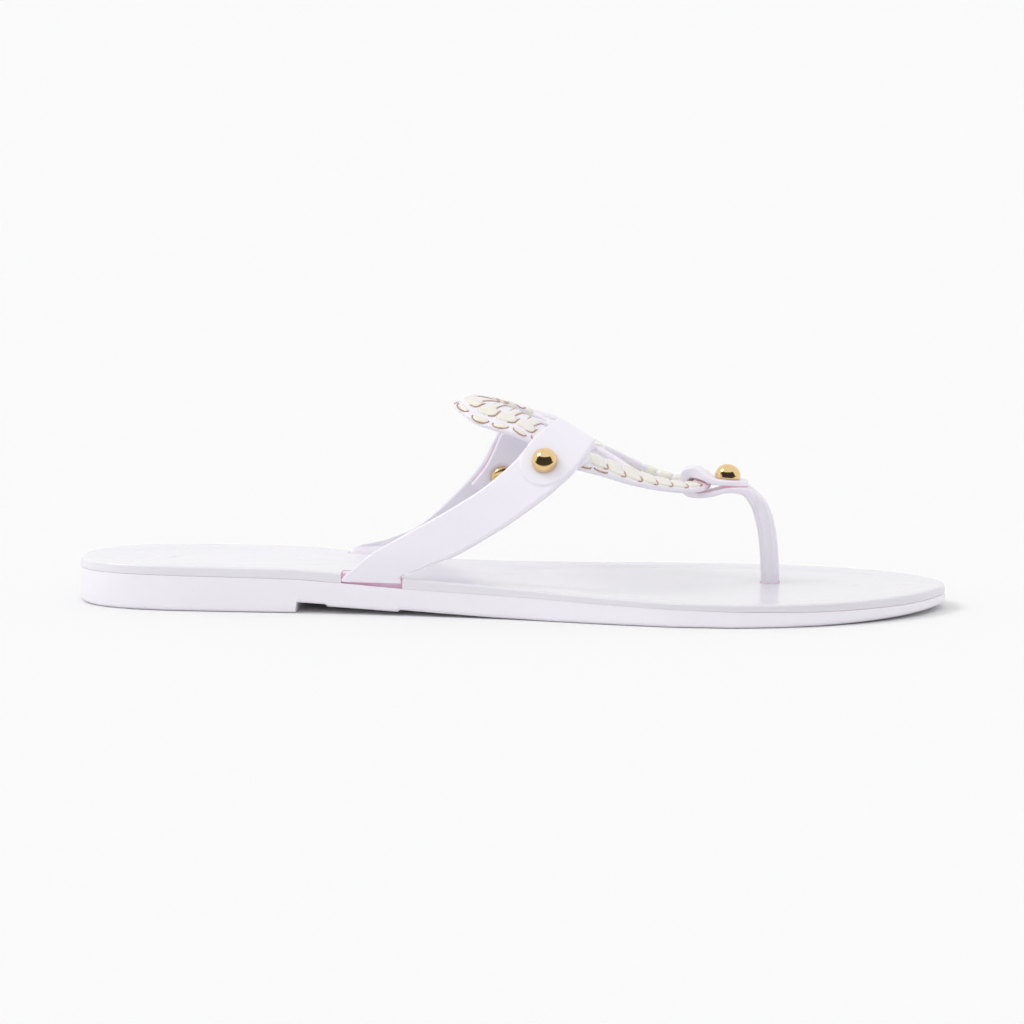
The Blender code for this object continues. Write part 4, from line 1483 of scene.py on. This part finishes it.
    def under_tab(self, distance: float) -> bool:
        """Tell whether a tab lies over the border.

        Args:
            distance: The distance along the border.

        Returns:
            Whether one lies there.
        """
        share, offset = self.along_border(distance)
        back, front = self.tab_ends[Side.MEDIAL if offset > 0 else Side.LATERAL]
        return back[0] - self.tab_margins[0] < share < front[0] + self.tab_margins[1]

    def frontward(self, distance: float) -> int:
        """Return the sign of travel along the border that leads to the front."""
        return 1 if distance % self.circuit < self.circuit / 2 else -1

    @property
    def quarter(self) -> float:
        """The travel from the middle of the border's inner edge, round the edge, to its top."""
        return math.pi / 4 * self.thickness

    def travel_to(self, distance: float, part: float) -> float:
        """Return the travel round a wrap that leads to a part of the border's width."""
        return self.quarter - self.thickness / 2 + self.border_width(distance) * part

    def wrap_point(self, distance: float, travel: float, height: float) -> Vector:
        """Return a point on a wrap round the border's inner edge.

        Args:
            distance: The distance along the border.
            travel: The distance round the wrap, from the inner edge's middle: positive on the top.
            height: How far it stands off the border's surface.

        Returns:
            The point.
        """
        r = self.thickness / 2
        across, past = r - self.border_width(distance) / 2, abs(travel) - self.quarter
        up = math.copysign(r + height, travel)
        if past >= 0:
            return self.on_border(distance, across + past, up)
        a = abs(travel) / r
        return self.on_border(distance, across - (r + height) * math.cos(a), up * math.sin(a))

    def build_border(self, finishes: Finishes) -> None:
        """Build the lilac strip under the stitches.

        Args:
            finishes: The sandal's materials.
        """
        count = 360
        rings = []
        for k in range(count):
            distance = self.circuit * k / count
            profile = rounded_profile(self.border_width(distance), self.thickness, self.edge_round, 16, 16)
            rings.append([self.on_border(distance, u, v + self.thickness / 2) for u, v in profile])
        skin = Skin()
        skin.add_loft(rings, closed=True)
        skin.finish("plate_border", finishes.jelly, Slot.JELLY, ["vamp_plate"])

    def build_stitches(self, finishes: Finishes) -> None:
        """Build the pearl stitch bands, the small stitches at the outer edge, and the tan lines round them.

        Args:
            finishes: The sandal's materials.
        """
        pearl, lines = Skin(), Skin()
        for number, (start, stop) in enumerate(self.band_spans()):
            following, middle = self.band_place(number + 1), (start + stop) / 2
            if not self.under_tab(middle):
                self.add_band(pearl, lines, start, stop, following)
                if following - stop > self.least_window and not self.under_tab((stop + following) / 2):
                    self.add_arch(lines, stop, following)
            if self.along_border(middle)[0] < self.plain_strip[0]:
                self.add_small_stitch(pearl, lines, middle, (following - start) * self.small_reach)
        pearl.finish("stitch_bands", finishes.pearl, Slot.PEARL, ["vamp_plate"], angle=60)
        lines.finish("stitch_lines", finishes.tan, Slot.PEARL, ["vamp_plate"], angle=60)

    def add_band(self, pearl: Skin, lines: Skin, start: float, stop: float, following: float) -> None:
        """Add one stitch band, which wraps the border's inner edge and ends in a rounded tongue.

        Args:
            pearl: The skin of the bands.
            lines: The skin of the tan lines.
            start: Where the band starts along the border.
            stop: Where it stops.
            following: Where the next band starts.
        """
        half, room, middle = (stop - start) / 2, (following - start) * self.band_room, (start + stop) / 2
        share, offset = self.along_border(middle)
        plain = self.plain_strip[0] < share < self.plain_strip[1] and offset < 0
        low = self.plain_low if plain else -self.quarter - self.band_under
        stitched = self.stitched + self.stitched_more * smooth(*self.stitched_shares, share)
        high = self.travel_to(middle, stitched)
        end = room * self.tongue
        wide, tall = 13, 30
        top, under = [], []
        for j in range(tall):
            travel = low + (high - low) * j / (tall - 1)
            past = max((travel - (high - end)) / end, 0.0)
            flare = smooth(high * self.band_flare[0], high * self.band_flare[1], travel)
            reach = (half + (room - half) * flare) * math.sqrt(max(1 - past**2.6, 0.0))
            fade = math.sqrt(max(1 - past**4, 0.0))
            row_top, row_under = [], []
            for i in range(wide):
                p = -1 + 2 * i / (wide - 1)
                rise = self.band_proud * (1 - abs(p) ** 5) ** 0.5 * (1 - 0.25 * p * p) * fade
                place = middle + p * max(reach, 0.02 * MM)
                row_top.append(self.wrap_point(place, travel, rise - 0.03 * MM))
                row_under.append(self.wrap_point(place, travel, -0.25 * MM))
            top.append(row_top)
            under.append(row_under)
        pearl.add_shell(top, under)
        self.add_corner(lines, middle, room, high, end)

    def add_corner(self, lines: Skin, middle: float, room: float, high: float, end: float) -> None:
        """Add the tan line round the front half of a band's tongue.

        Args:
            lines: The skin of the tan lines.
            middle: The band's middle along the border.
            room: Half of the width that the tongue takes up.
            high: The travel round the wrap to the tongue's tip.
            end: The travel over which the tongue is rounded.
        """
        first, whole = self.corner_turns
        path = []
        for k in range(19):
            t = k / 18
            a = math.pi * (first - whole * t)
            reach, travel = room, high - end + end * max(math.sin(a), 0.0) ** 0.8
            if a > 0:
                reach *= math.cos(a) ** 0.7
            else:
                travel -= (high - end) * self.corner_drop * (t - first / whole) / (1 - first / whole)
            place = middle + self.frontward(middle) * reach
            path.append(self.wrap_point(place, travel, self.line_radius * 0.35))
        lines.add_tube(path, self.line_radius * 1.25)

    def add_arch(self, lines: Skin, start: float, stop: float) -> None:
        """Add the tan line round a window: up its rear side, over its top and part way down its front side.

        Args:
            lines: The skin of the tan lines.
            start: Where the window starts along the border.
            stop: Where it stops.
        """
        half, middle = (stop - start) / 2, (start + stop) / 2
        top = self.quarter * self.arch_top
        base, sill = top + half * 1.1, self.travel_to(middle, self.stitched) * self.arch_sill
        rear_side, over, front_side = self.arch_parts
        path = []
        for k in range(31):
            t = (rear_side + over + front_side) * k / 30 - rear_side
            if t < 0:
                reach, travel = 1.0, base - (sill - base) * t / rear_side
            else:
                a = math.pi * min(t / over, 1.0)
                down = max(t - over, 0.0) / front_side * self.arch_drop
                reach = math.copysign(abs(math.cos(a)) ** 0.8, math.cos(a))
                travel = base - (base - top) * math.sin(a) ** 0.8 + (sill - base) * down
            place = middle - self.frontward(middle) * half * reach
            path.append(self.wrap_point(place, travel, self.line_radius * 0.35))
        lines.add_tube(path, self.line_radius * 1.1)

    def add_small_stitch(self, pearl: Skin, lines: Skin, centre: float, reach: float) -> None:
        """Add a small oval stitch at the border's outer edge, with its tan outline.

        Args:
            pearl: The skin of the bands.
            lines: The skin of the tan lines.
            centre: The stitch's middle along the border.
            reach: Half of its length.
        """
        middle, tall = self.travel_to(centre, self.small_place), self.border_width(centre) * self.small_tall
        around = [math.tau * k / 18 for k in range(18)]
        top, under = [], []
        for j in range(1, 5):
            radius = j / 4
            rise = self.small_proud * (1 - radius**2.5)
            spots = [(centre + reach * radius * math.cos(a), middle + tall * radius * math.sin(a))
                     for a in around]
            top.append([self.wrap_point(*spot, rise - 0.02 * MM) for spot in spots])
            under.append([self.wrap_point(*spot, -0.2 * MM) for spot in spots])
        pearl.add_loft(under + top[::-1])
        path = []
        for k in range(19):
            a = math.pi * (-0.08 + 1.16 * k / 18)
            place, travel = centre + reach * 1.05 * math.cos(a), middle + tall * 1.1 * math.sin(a)
            path.append(self.wrap_point(place, travel, self.line_radius * 0.3))
        lines.add_tube(path, self.line_radius * 1.3)

    def surface_strip(self, path: Sequence[Point2], width: float | Curve, thickness: float, closed: bool,
                      lift: float = 0.0) -> list[list[Vector]]:
        """Lay a strip on the plate's middle surface.

        Args:
            path: The (share, offset) places that it follows.
            width: Its width, or a function of the share along it.
            thickness: Its thickness.
            closed: Whether the path is a loop.
            lift: How far its middle lies over the surface.

        Returns:
            The strip's rings.
        """
        rings = []
        count = len(path)
        for k, place in enumerate(path):
            before = path[k - 1] if closed or k > 0 else place
            after = path[(k + 1) % count] if closed or k < count - 1 else place
            normal = self.normal(*place)
            across = normal.cross(self.point(*after) - self.point(*before)).normalized()
            wide = width(k / (count - 1)) if callable(width) else width
            profile = rounded_profile(wide, thickness, self.edge_round, 4, 4)
            rings.append([self.point(*place) + across * u + normal * (v + thickness / 2 + lift)
                          for u, v in profile])
        return rings

    def hub_point(self, angle: float, radius: float) -> Point2:
        """Return (share, offset) of a point round the hub."""
        return self.hub_share + radius * math.cos(angle) / self.length, radius * math.sin(angle)

    def spoke_flare(self, along: float) -> float:
        """Return a spoke's width, which grows to both ends."""
        return self.spoke_width * (0.86 + 0.5 * (2 * along - 1) ** 4)

    def spoke_path(self, angle: float) -> list[Point2]:
        """Find the line of a spoke, from just inside the hub ring to well under the border.

        Args:
            angle: Its direction from the hub.

        Returns:
            The (share, offset) places along it.
        """
        inner = self.hub_radius + self.spoke_width * 0.1
        outer = inner
        while outer < self.half_width * 1.2:
            share, offset = self.hub_point(angle, outer)
            half = self.halves[Side.MEDIAL if offset > 0 else Side.LATERAL]
            if abs(offset) > half(share) - self.border(share) * 0.75:
                break
            outer += 0.2 * MM
        return [self.hub_point(angle, inner + (outer - inner) * k / 16) for k in range(17)]

    def build_openwork(self, finishes: Finishes) -> None:
        """Build the hub ring with its raised rib, and the spokes, whose ends flare into what they join.

        Args:
            finishes: The sandal's materials.
        """
        skin = Skin()
        count = 72
        ring = [self.hub_point(math.tau * k / count, self.hub_radius) for k in range(count)]
        skin.add_loft(self.surface_strip(ring, self.spoke_width, self.thickness, True), closed=True)
        for number in range(self.spokes):
            path = self.spoke_path(math.tau * (number + 0.5) / self.spokes)
            skin.add_loft(self.surface_strip(path, self.spoke_flare, self.thickness - 0.2 * MM, False))
        skin.finish("plate_openwork", finishes.jelly, Slot.JELLY, ["vamp_plate"])
        rib = Skin()
        strip = self.surface_strip(ring, self.rib_width, self.rib_height, True, self.thickness / 2)
        rib.add_loft(strip, closed=True)
        rib.finish("hub_rib", finishes.pearl, Slot.PEARL, ["vamp_plate"])

    def build_tab(self, side: Side, finishes: Finishes) -> None:
        """Build the tab that runs from under a strap's end into the border.

        Args:
            side: The side of the sandal.
            finishes: The sandal's materials.
        """
        strap, half, ends = self.straps[side], self.halves[side], self.tab_ends[side]
        frames = []
        for place in self.tab_rows[side]:
            centre, across, normal, width = strap.frame(place)
            middle, reach = centre - normal * (strap.thickness + self.gap), across * (width / 2 - MM)
            frames.append([*(middle - reach), *(middle + reach), *normal])
        back, front = (self.point(share, side.value * half(share) * part) for share, part in ends)
        share, part = (sum(values) / 2 for values in zip(*ends))
        normal = self.normal(share, side.value * half(share) * part)
        lift = normal * self.tab_thickness / 2
        frames.append([*(back + lift), *(front + lift), *normal])
        skin = Skin()
        rings = []
        for k in range(49):
            values = spline_row(frames, (len(frames) - 1) * k / 48)
            back, front, normal = Vector(values[0:3]), Vector(values[3:6]), Vector(values[6:9]).normalized()
            across = (front - back).normalized()
            normal = (normal - across * normal.dot(across)).normalized()
            profile = rounded_profile((front - back).length, self.tab_thickness, 0.7 * MM, 8, 8)
            rings.append([(back + front) / 2 + across * u + normal * v for u, v in profile])
        skin.add_loft(rings)
        skin.finish(f"{strap.name}_tab", finishes.jelly, Slot.JELLY, ["vamp_plate"])

    def build(self, finishes: Finishes) -> None:
        """Build the whole plate.

        Args:
            finishes: The sandal's materials.
        """
        self.build_border(finishes)
        self.build_stitches(finishes)
        self.build_openwork(finishes)
        for side in Side:
            self.build_tab(side, finishes)


# Toe post and studs


@dataclass
class ToePost:
    """The toe post: a fluted stem whose top folds round the plate's front and is studded to itself."""

    plan: SolePlan
    y: float = 0.0115
    width: float = 0.0128
    height: float = 0.040
    base_x: float = 0.0755
    edge_round: float = 0.55 * MM
    stem_round: float = 1.5 * MM
    flute_depth: float = 0.32 * MM
    flutes: int = 16
    stem_rows: Point2 = (4.2, 7.0)
    hole_gap: float = 0.5 * MM
    hole_floor: float = 0.6 * MM
    hole_top: float = 20 * MM
    rows: tuple[Row, ...] = (
        # ahead of the base, up (of height), heading in degrees, thick, wide (of width)
        (0.000, 0.062, 90, 0.41, 0.50),
        (0.000, 0.200, 90, 0.41, 0.50),
        (-0.008, 0.375, 92, 0.41, 0.50),
        (-0.030, 0.555, 100, 0.40, 0.50),
        (-0.075, 0.705, 115, 0.36, 0.56),
        (-0.135, 0.790, 138, 0.26, 0.70),
        (-0.205, 0.838, 162, 0.17, 0.92),
        (-0.320, 0.842, 182, 0.125, 0.98),
        (-0.425, 0.812, 188, 0.125, 0.86),
        (-0.540, 0.797, 180, 0.125, 0.66),
        (-0.620, 0.822, 140, 0.150, 0.54),
        (-0.643, 0.893, 90, 0.205, 0.52),
        (-0.615, 0.953, 40, 0.240, 0.54),
        (-0.560, 0.965, 0, 0.250, 0.66),
        (-0.490, 0.939, -27, 0.170, 0.86),
        (-0.425, 0.907, -12, 0.140, 0.96),
        (-0.320, 0.898, -6, 0.125, 1.00),
        (-0.235, 0.890, -5, 0.125, 0.88),
        (-0.185, 0.885, -5, 0.110, 0.60),
        (-0.165, 0.883, -5, 0.090, 0.30),
    )
    stud_row: int = 16

    def frame(self, place: float) -> tuple[Vector, Vector, float, float]:
        """Find how a section of the post lies.

        Args:
            place: The row, with its fraction.

        Returns:
            The section's centre, its normal, its thickness and its width.
        """
        ahead, up, heading, thick, wide = spline_row(self.rows, place)
        angle = math.radians(heading)
        centre = Vector((self.base_x + ahead * self.height, self.y, up * self.height))
        normal = Vector((-math.sin(angle), 0.0, math.cos(angle)))
        return centre, normal, thick * self.width, wide * self.width

    def build(self, finishes: Finishes) -> None:
        """Build the post.

        Args:
            finishes: The sandal's materials.
        """
        across = Vector((0.0, 1.0, 0.0))
        rings = []
        steps = 12
        last = len(self.rows) - 1
        for k in range(last * steps + 1):
            place = k / steps
            centre, normal, thick, wide = self.frame(place)
            stem = 1 - smooth(*self.stem_rows, place)
            radius = self.edge_round + (self.stem_round - self.edge_round) * stem
            profile = rounded_profile(wide, thick, radius, 34, 34, steps=9)
            around = self.perimeter(profile)
            ring = []
            for (u, v), share in zip(profile, around):
                v += thick / 2
                dent = self.flute_depth * stem * (0.5 - 0.5 * math.cos(math.tau * self.flutes * share)) ** 2
                away = Vector((u, v))
                if away.length > 0:
                    u, v = (away - away.normalized() * dent)[:]
                ring.append(centre + across * u + normal * v)
            rings.append(ring)
        skin = Skin()
        skin.add_loft(rings)
        skin.finish("toe_post_moulding", finishes.jelly, Slot.JELLY, ["toe_post"], angle=50)

    @staticmethod
    def perimeter(profile: Sequence[Point2]) -> list[float]:
        """Measure the way round a profile.

        Args:
            profile: The profile's points.

        Returns:
            Each point's share of the way round.
        """
        count = len(profile)
        steps = [math.dist(profile[k], profile[(k + 1) % count]) for k in range(count)]
        total, travelled = sum(steps), 0.0
        shares = []
        for step in steps:
            shares.append(travelled / total)
            travelled += step
        return shares

    def hole(self) -> Skin:
        """Make the stem's hole in the footbed.

        Returns:
            The shape to cut out.
        """
        centre, _, thick, wide = self.frame(0.0)
        wide, thick = wide + self.hole_gap, thick + self.hole_gap
        profile = rounded_profile(wide, thick, self.stem_round + self.hole_gap / 2, 4, 4)
        bottom = self.plan.parting(self.plan.share(centre.x)) + self.hole_floor
        skin = Skin()
        skin.add_loft([[Vector((centre.x + v + thick / 2, centre.y + u, z)) for u, v in profile]
                       for z in (bottom, self.hole_top)])
        return skin

    def stud_seat(self) -> tuple[Vector, Vector]:
        """Return the place and normal of the stud on the folded tab."""
        centre, normal, thick, _ = self.frame(float(self.stud_row))
        return centre + normal * thick / 2, normal


@dataclass
class Stud:
    """A domed gold stud with a thin collar, and a flat cap on the other side of what it holds."""

    name: str
    seat: Vector
    normal: Vector
    grip: float
    backed: bool
    radius: float = 3.75 * MM
    rim: float = 0.5 * MM
    dome: float = 3.4 * MM
    back_radius: float = 3.6 * MM
    back_thickness: float = 1.2 * MM
    gap: float = 0.3 * MM

    def turned(self, profile: Sequence[Point2], base: Vector) -> Skin:
        """Return a shape turned about the stud's axis.

        Args:
            profile: (radius, height) points from one pole to the other.
            base: Where height 0 lies.

        Returns:
            The shape.
        """
        side = self.normal.cross(Vector((0.0, 0.37, 0.93))).normalized()
        up = self.normal.cross(side)
        around = [math.tau * k / 64 for k in range(64)]
        skin = Skin()
        skin.add_loft([[base + (side * math.cos(a) + up * math.sin(a)) * max(r, 1e-5) + self.normal * h
                        for a in around] for r, h in profile])
        return skin

    def build(self, finishes: Finishes) -> None:
        """Build the stud and its cap.

        Args:
            finishes: The sandal's materials.
        """
        r, gap = self.radius, self.gap
        profile = [(0.0, -gap), (r - 0.25 * MM, -gap), (r - 0.05 * MM, -gap * 0.5), (r, 0.1 * MM)]
        for k in range(19):
            a = math.pi / 2 * k / 18
            profile.append((r * math.cos(a), self.rim + self.dome * math.sin(a)))
        dome = self.turned(profile, self.seat + self.normal * gap)
        dome.finish(f"{self.name}_stud", finishes.gold, Slot.GOLD, [f"stud_{self.name}"])
        if self.backed:
            b, t, high = self.back_radius, self.back_thickness, 0.25 * MM
            profile = [(0.0, high), (b, high), (b, -t * 0.45), (b * 0.94, -t * 0.8), (b * 0.75, -t),
                       (0.0, -t)]
            cap = self.turned(profile, self.seat - self.normal * (self.grip + 2 * gap))
            cap.finish(f"{self.name}_stud_back", finishes.gold, Slot.GOLD, [f"stud_back_{self.name}"])


# Studio


@dataclass
class Studio:
    """The pale floor, the soft light and the camera at the photograph's angle."""

    distance: float = 1.8
    yaw: float = 5.0
    rise: float = 6.7
    roll: float = 0.2
    pixels_per_metre: float = 3414.0
    target: Vector = field(default_factory=lambda: Vector((0.0003, 0.0, 0.0272)))
    floor_size: float = 60.0
    floor_tone: Row = (0.85, 0.85, 0.85, 1.0)
    # the dark card that mirror rays see: its colour, and where it fades on the floor and in the room
    dark: Row = (0.05, 0.05, 0.055, 1.0)
    card_floor: Point2 = (-0.11, -0.07)
    card_front: Point2 = (0.22, 0.40)
    card_top: Point2 = (0.66, 0.72)
    lamp: Row = (8.0, 8.0, 8.0, 1.0)
    lamp_at: Row = (-0.63, -0.11, 0.77)
    lamp_edge: Point2 = (0.978, 0.988)
    strength: float = 0.95

    def build_camera(self) -> None:
        """Make the camera."""
        y, e, r = (math.radians(v) for v in (self.yaw, self.rise, self.roll))
        back = Vector((math.sin(y) * math.cos(e), -math.cos(y) * math.cos(e), math.sin(e)))
        right = Vector((math.cos(y), math.sin(y), 0.0))
        up = back.cross(right)
        across, above = right * math.cos(r) + up * math.sin(r), up * math.cos(r) - right * math.sin(r)
        matrix = Matrix((across, above, back)).transposed().to_4x4()
        matrix.translation = self.target + back * self.distance
        data = bpy.data.cameras.new("camera")
        data.sensor_width = 36.0
        data.lens = data.sensor_width * self.distance * self.pixels_per_metre / PHOTO_PIXELS
        data.clip_start, data.clip_end = 0.05, 200.0
        camera = bpy.data.objects.new("camera", data)
        camera.matrix_world = matrix
        bpy.context.scene.collection.objects.link(camera)
        bpy.context.scene.camera = camera

    def build_floor(self) -> None:
        """Make the floor, which looks dark in front to mirror rays."""
        half = self.floor_size / 2
        corners = [(-half, -half, 0), (half, -half, 0), (half, half, 0), (-half, half, 0)]
        mesh = bpy.data.meshes.new("floor")
        mesh.from_pydata(corners, [], [(0, 1, 2, 3)])
        material, nodes, shader = new_material("pale_floor")
        behind = nodes.ramp(nodes.coordinate(1), *self.card_floor)
        mirrored = nodes.in_mirrors(nodes.math("SUBTRACT", 1.0, behind))
        nodes.link(nodes.mix(mirrored, self.floor_tone, self.dark), shader, "Base Color")
        shader.inputs["Roughness"].default_value = 0.9
        shader.inputs["Specular IOR Level"].default_value = 0.0
        mesh.materials.append(material)
        floor = bpy.data.objects.new("floor", mesh)
        bpy.context.scene.collection.objects.link(floor)

    def build_light(self) -> None:
        """Make the white room, with a lamp at the upper left and a dark card that only mirror rays see."""
        scene = bpy.context.scene
        world = bpy.data.worlds.new("studio")
        world.use_nodes = True
        nodes = NodeTree(world.node_tree)
        place = nodes.add("TexCoord").outputs["Generated"]
        parts = nodes.add("SeparateXYZ", {0: place})
        front = nodes.ramp(nodes.math("MULTIPLY", parts.outputs[1], -1.0), *self.card_front)
        low = nodes.math("SUBTRACT", 1.0, nodes.ramp(parts.outputs[2], *self.card_top))
        card = nodes.in_mirrors(nodes.math("MULTIPLY", front, low))
        toward = nodes.add("VectorMath", {0: place, 1: self.lamp_at}, operation="DOT_PRODUCT")
        room = nodes.mix(nodes.ramp(toward.outputs["Value"], *self.lamp_edge), WHITE, self.lamp)
        background = world.node_tree.nodes["Background"]
        nodes.link(nodes.mix(card, room, self.dark), background, "Color")
        background.inputs["Strength"].default_value = self.strength
        scene.world = world
        scene.view_settings.view_transform = "Standard"
        scene.view_settings.look = "None"

    def build(self) -> None:
        """Build the studio."""
        self.build_camera()
        self.build_floor()
        self.build_light()


def main() -> None:
    """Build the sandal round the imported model."""
    logging.basicConfig(level=logging.INFO, format="%(message)s")
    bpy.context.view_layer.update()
    Studio().build()
    finishes = Finishes()
    plan = SolePlan()
    straps = {
        Side.LATERAL: SideStrap(plan, "lateral", Side.LATERAL, LATERAL_ROWS, root=(-0.0468, -0.0288),
                                stud_row=7.09),
        Side.MEDIAL: SideStrap(plan, "medial", Side.MEDIAL, MEDIAL_ROWS, root=(-0.0498, -0.0308),
                               stud_row=6.0),
    }
    post = ToePost(plan)
    plate = VampPlate(straps)
    Outsole(plan).build(finishes)
    Footbed(plan, [*(strap.notch() for strap in straps.values()), post.hole()]).build(finishes)
    for strap in straps.values():
        strap.build(finishes)
    plate.build(finishes)
    post.build(finishes)
    for strap in straps.values():
        centre, _, _, normal = strap.stud_frame
        grip = strap.thickness + strap.pad_proud + plate.gap + plate.tab_thickness
        seat = centre + normal * strap.pad_proud
        Stud(strap.name, seat, normal, grip, backed=True).build(finishes)
    seat, normal = post.stud_seat()
    Stud("toe", seat, normal, 0.0, backed=False).build(finishes)


if __name__ == "__main__":
    main()
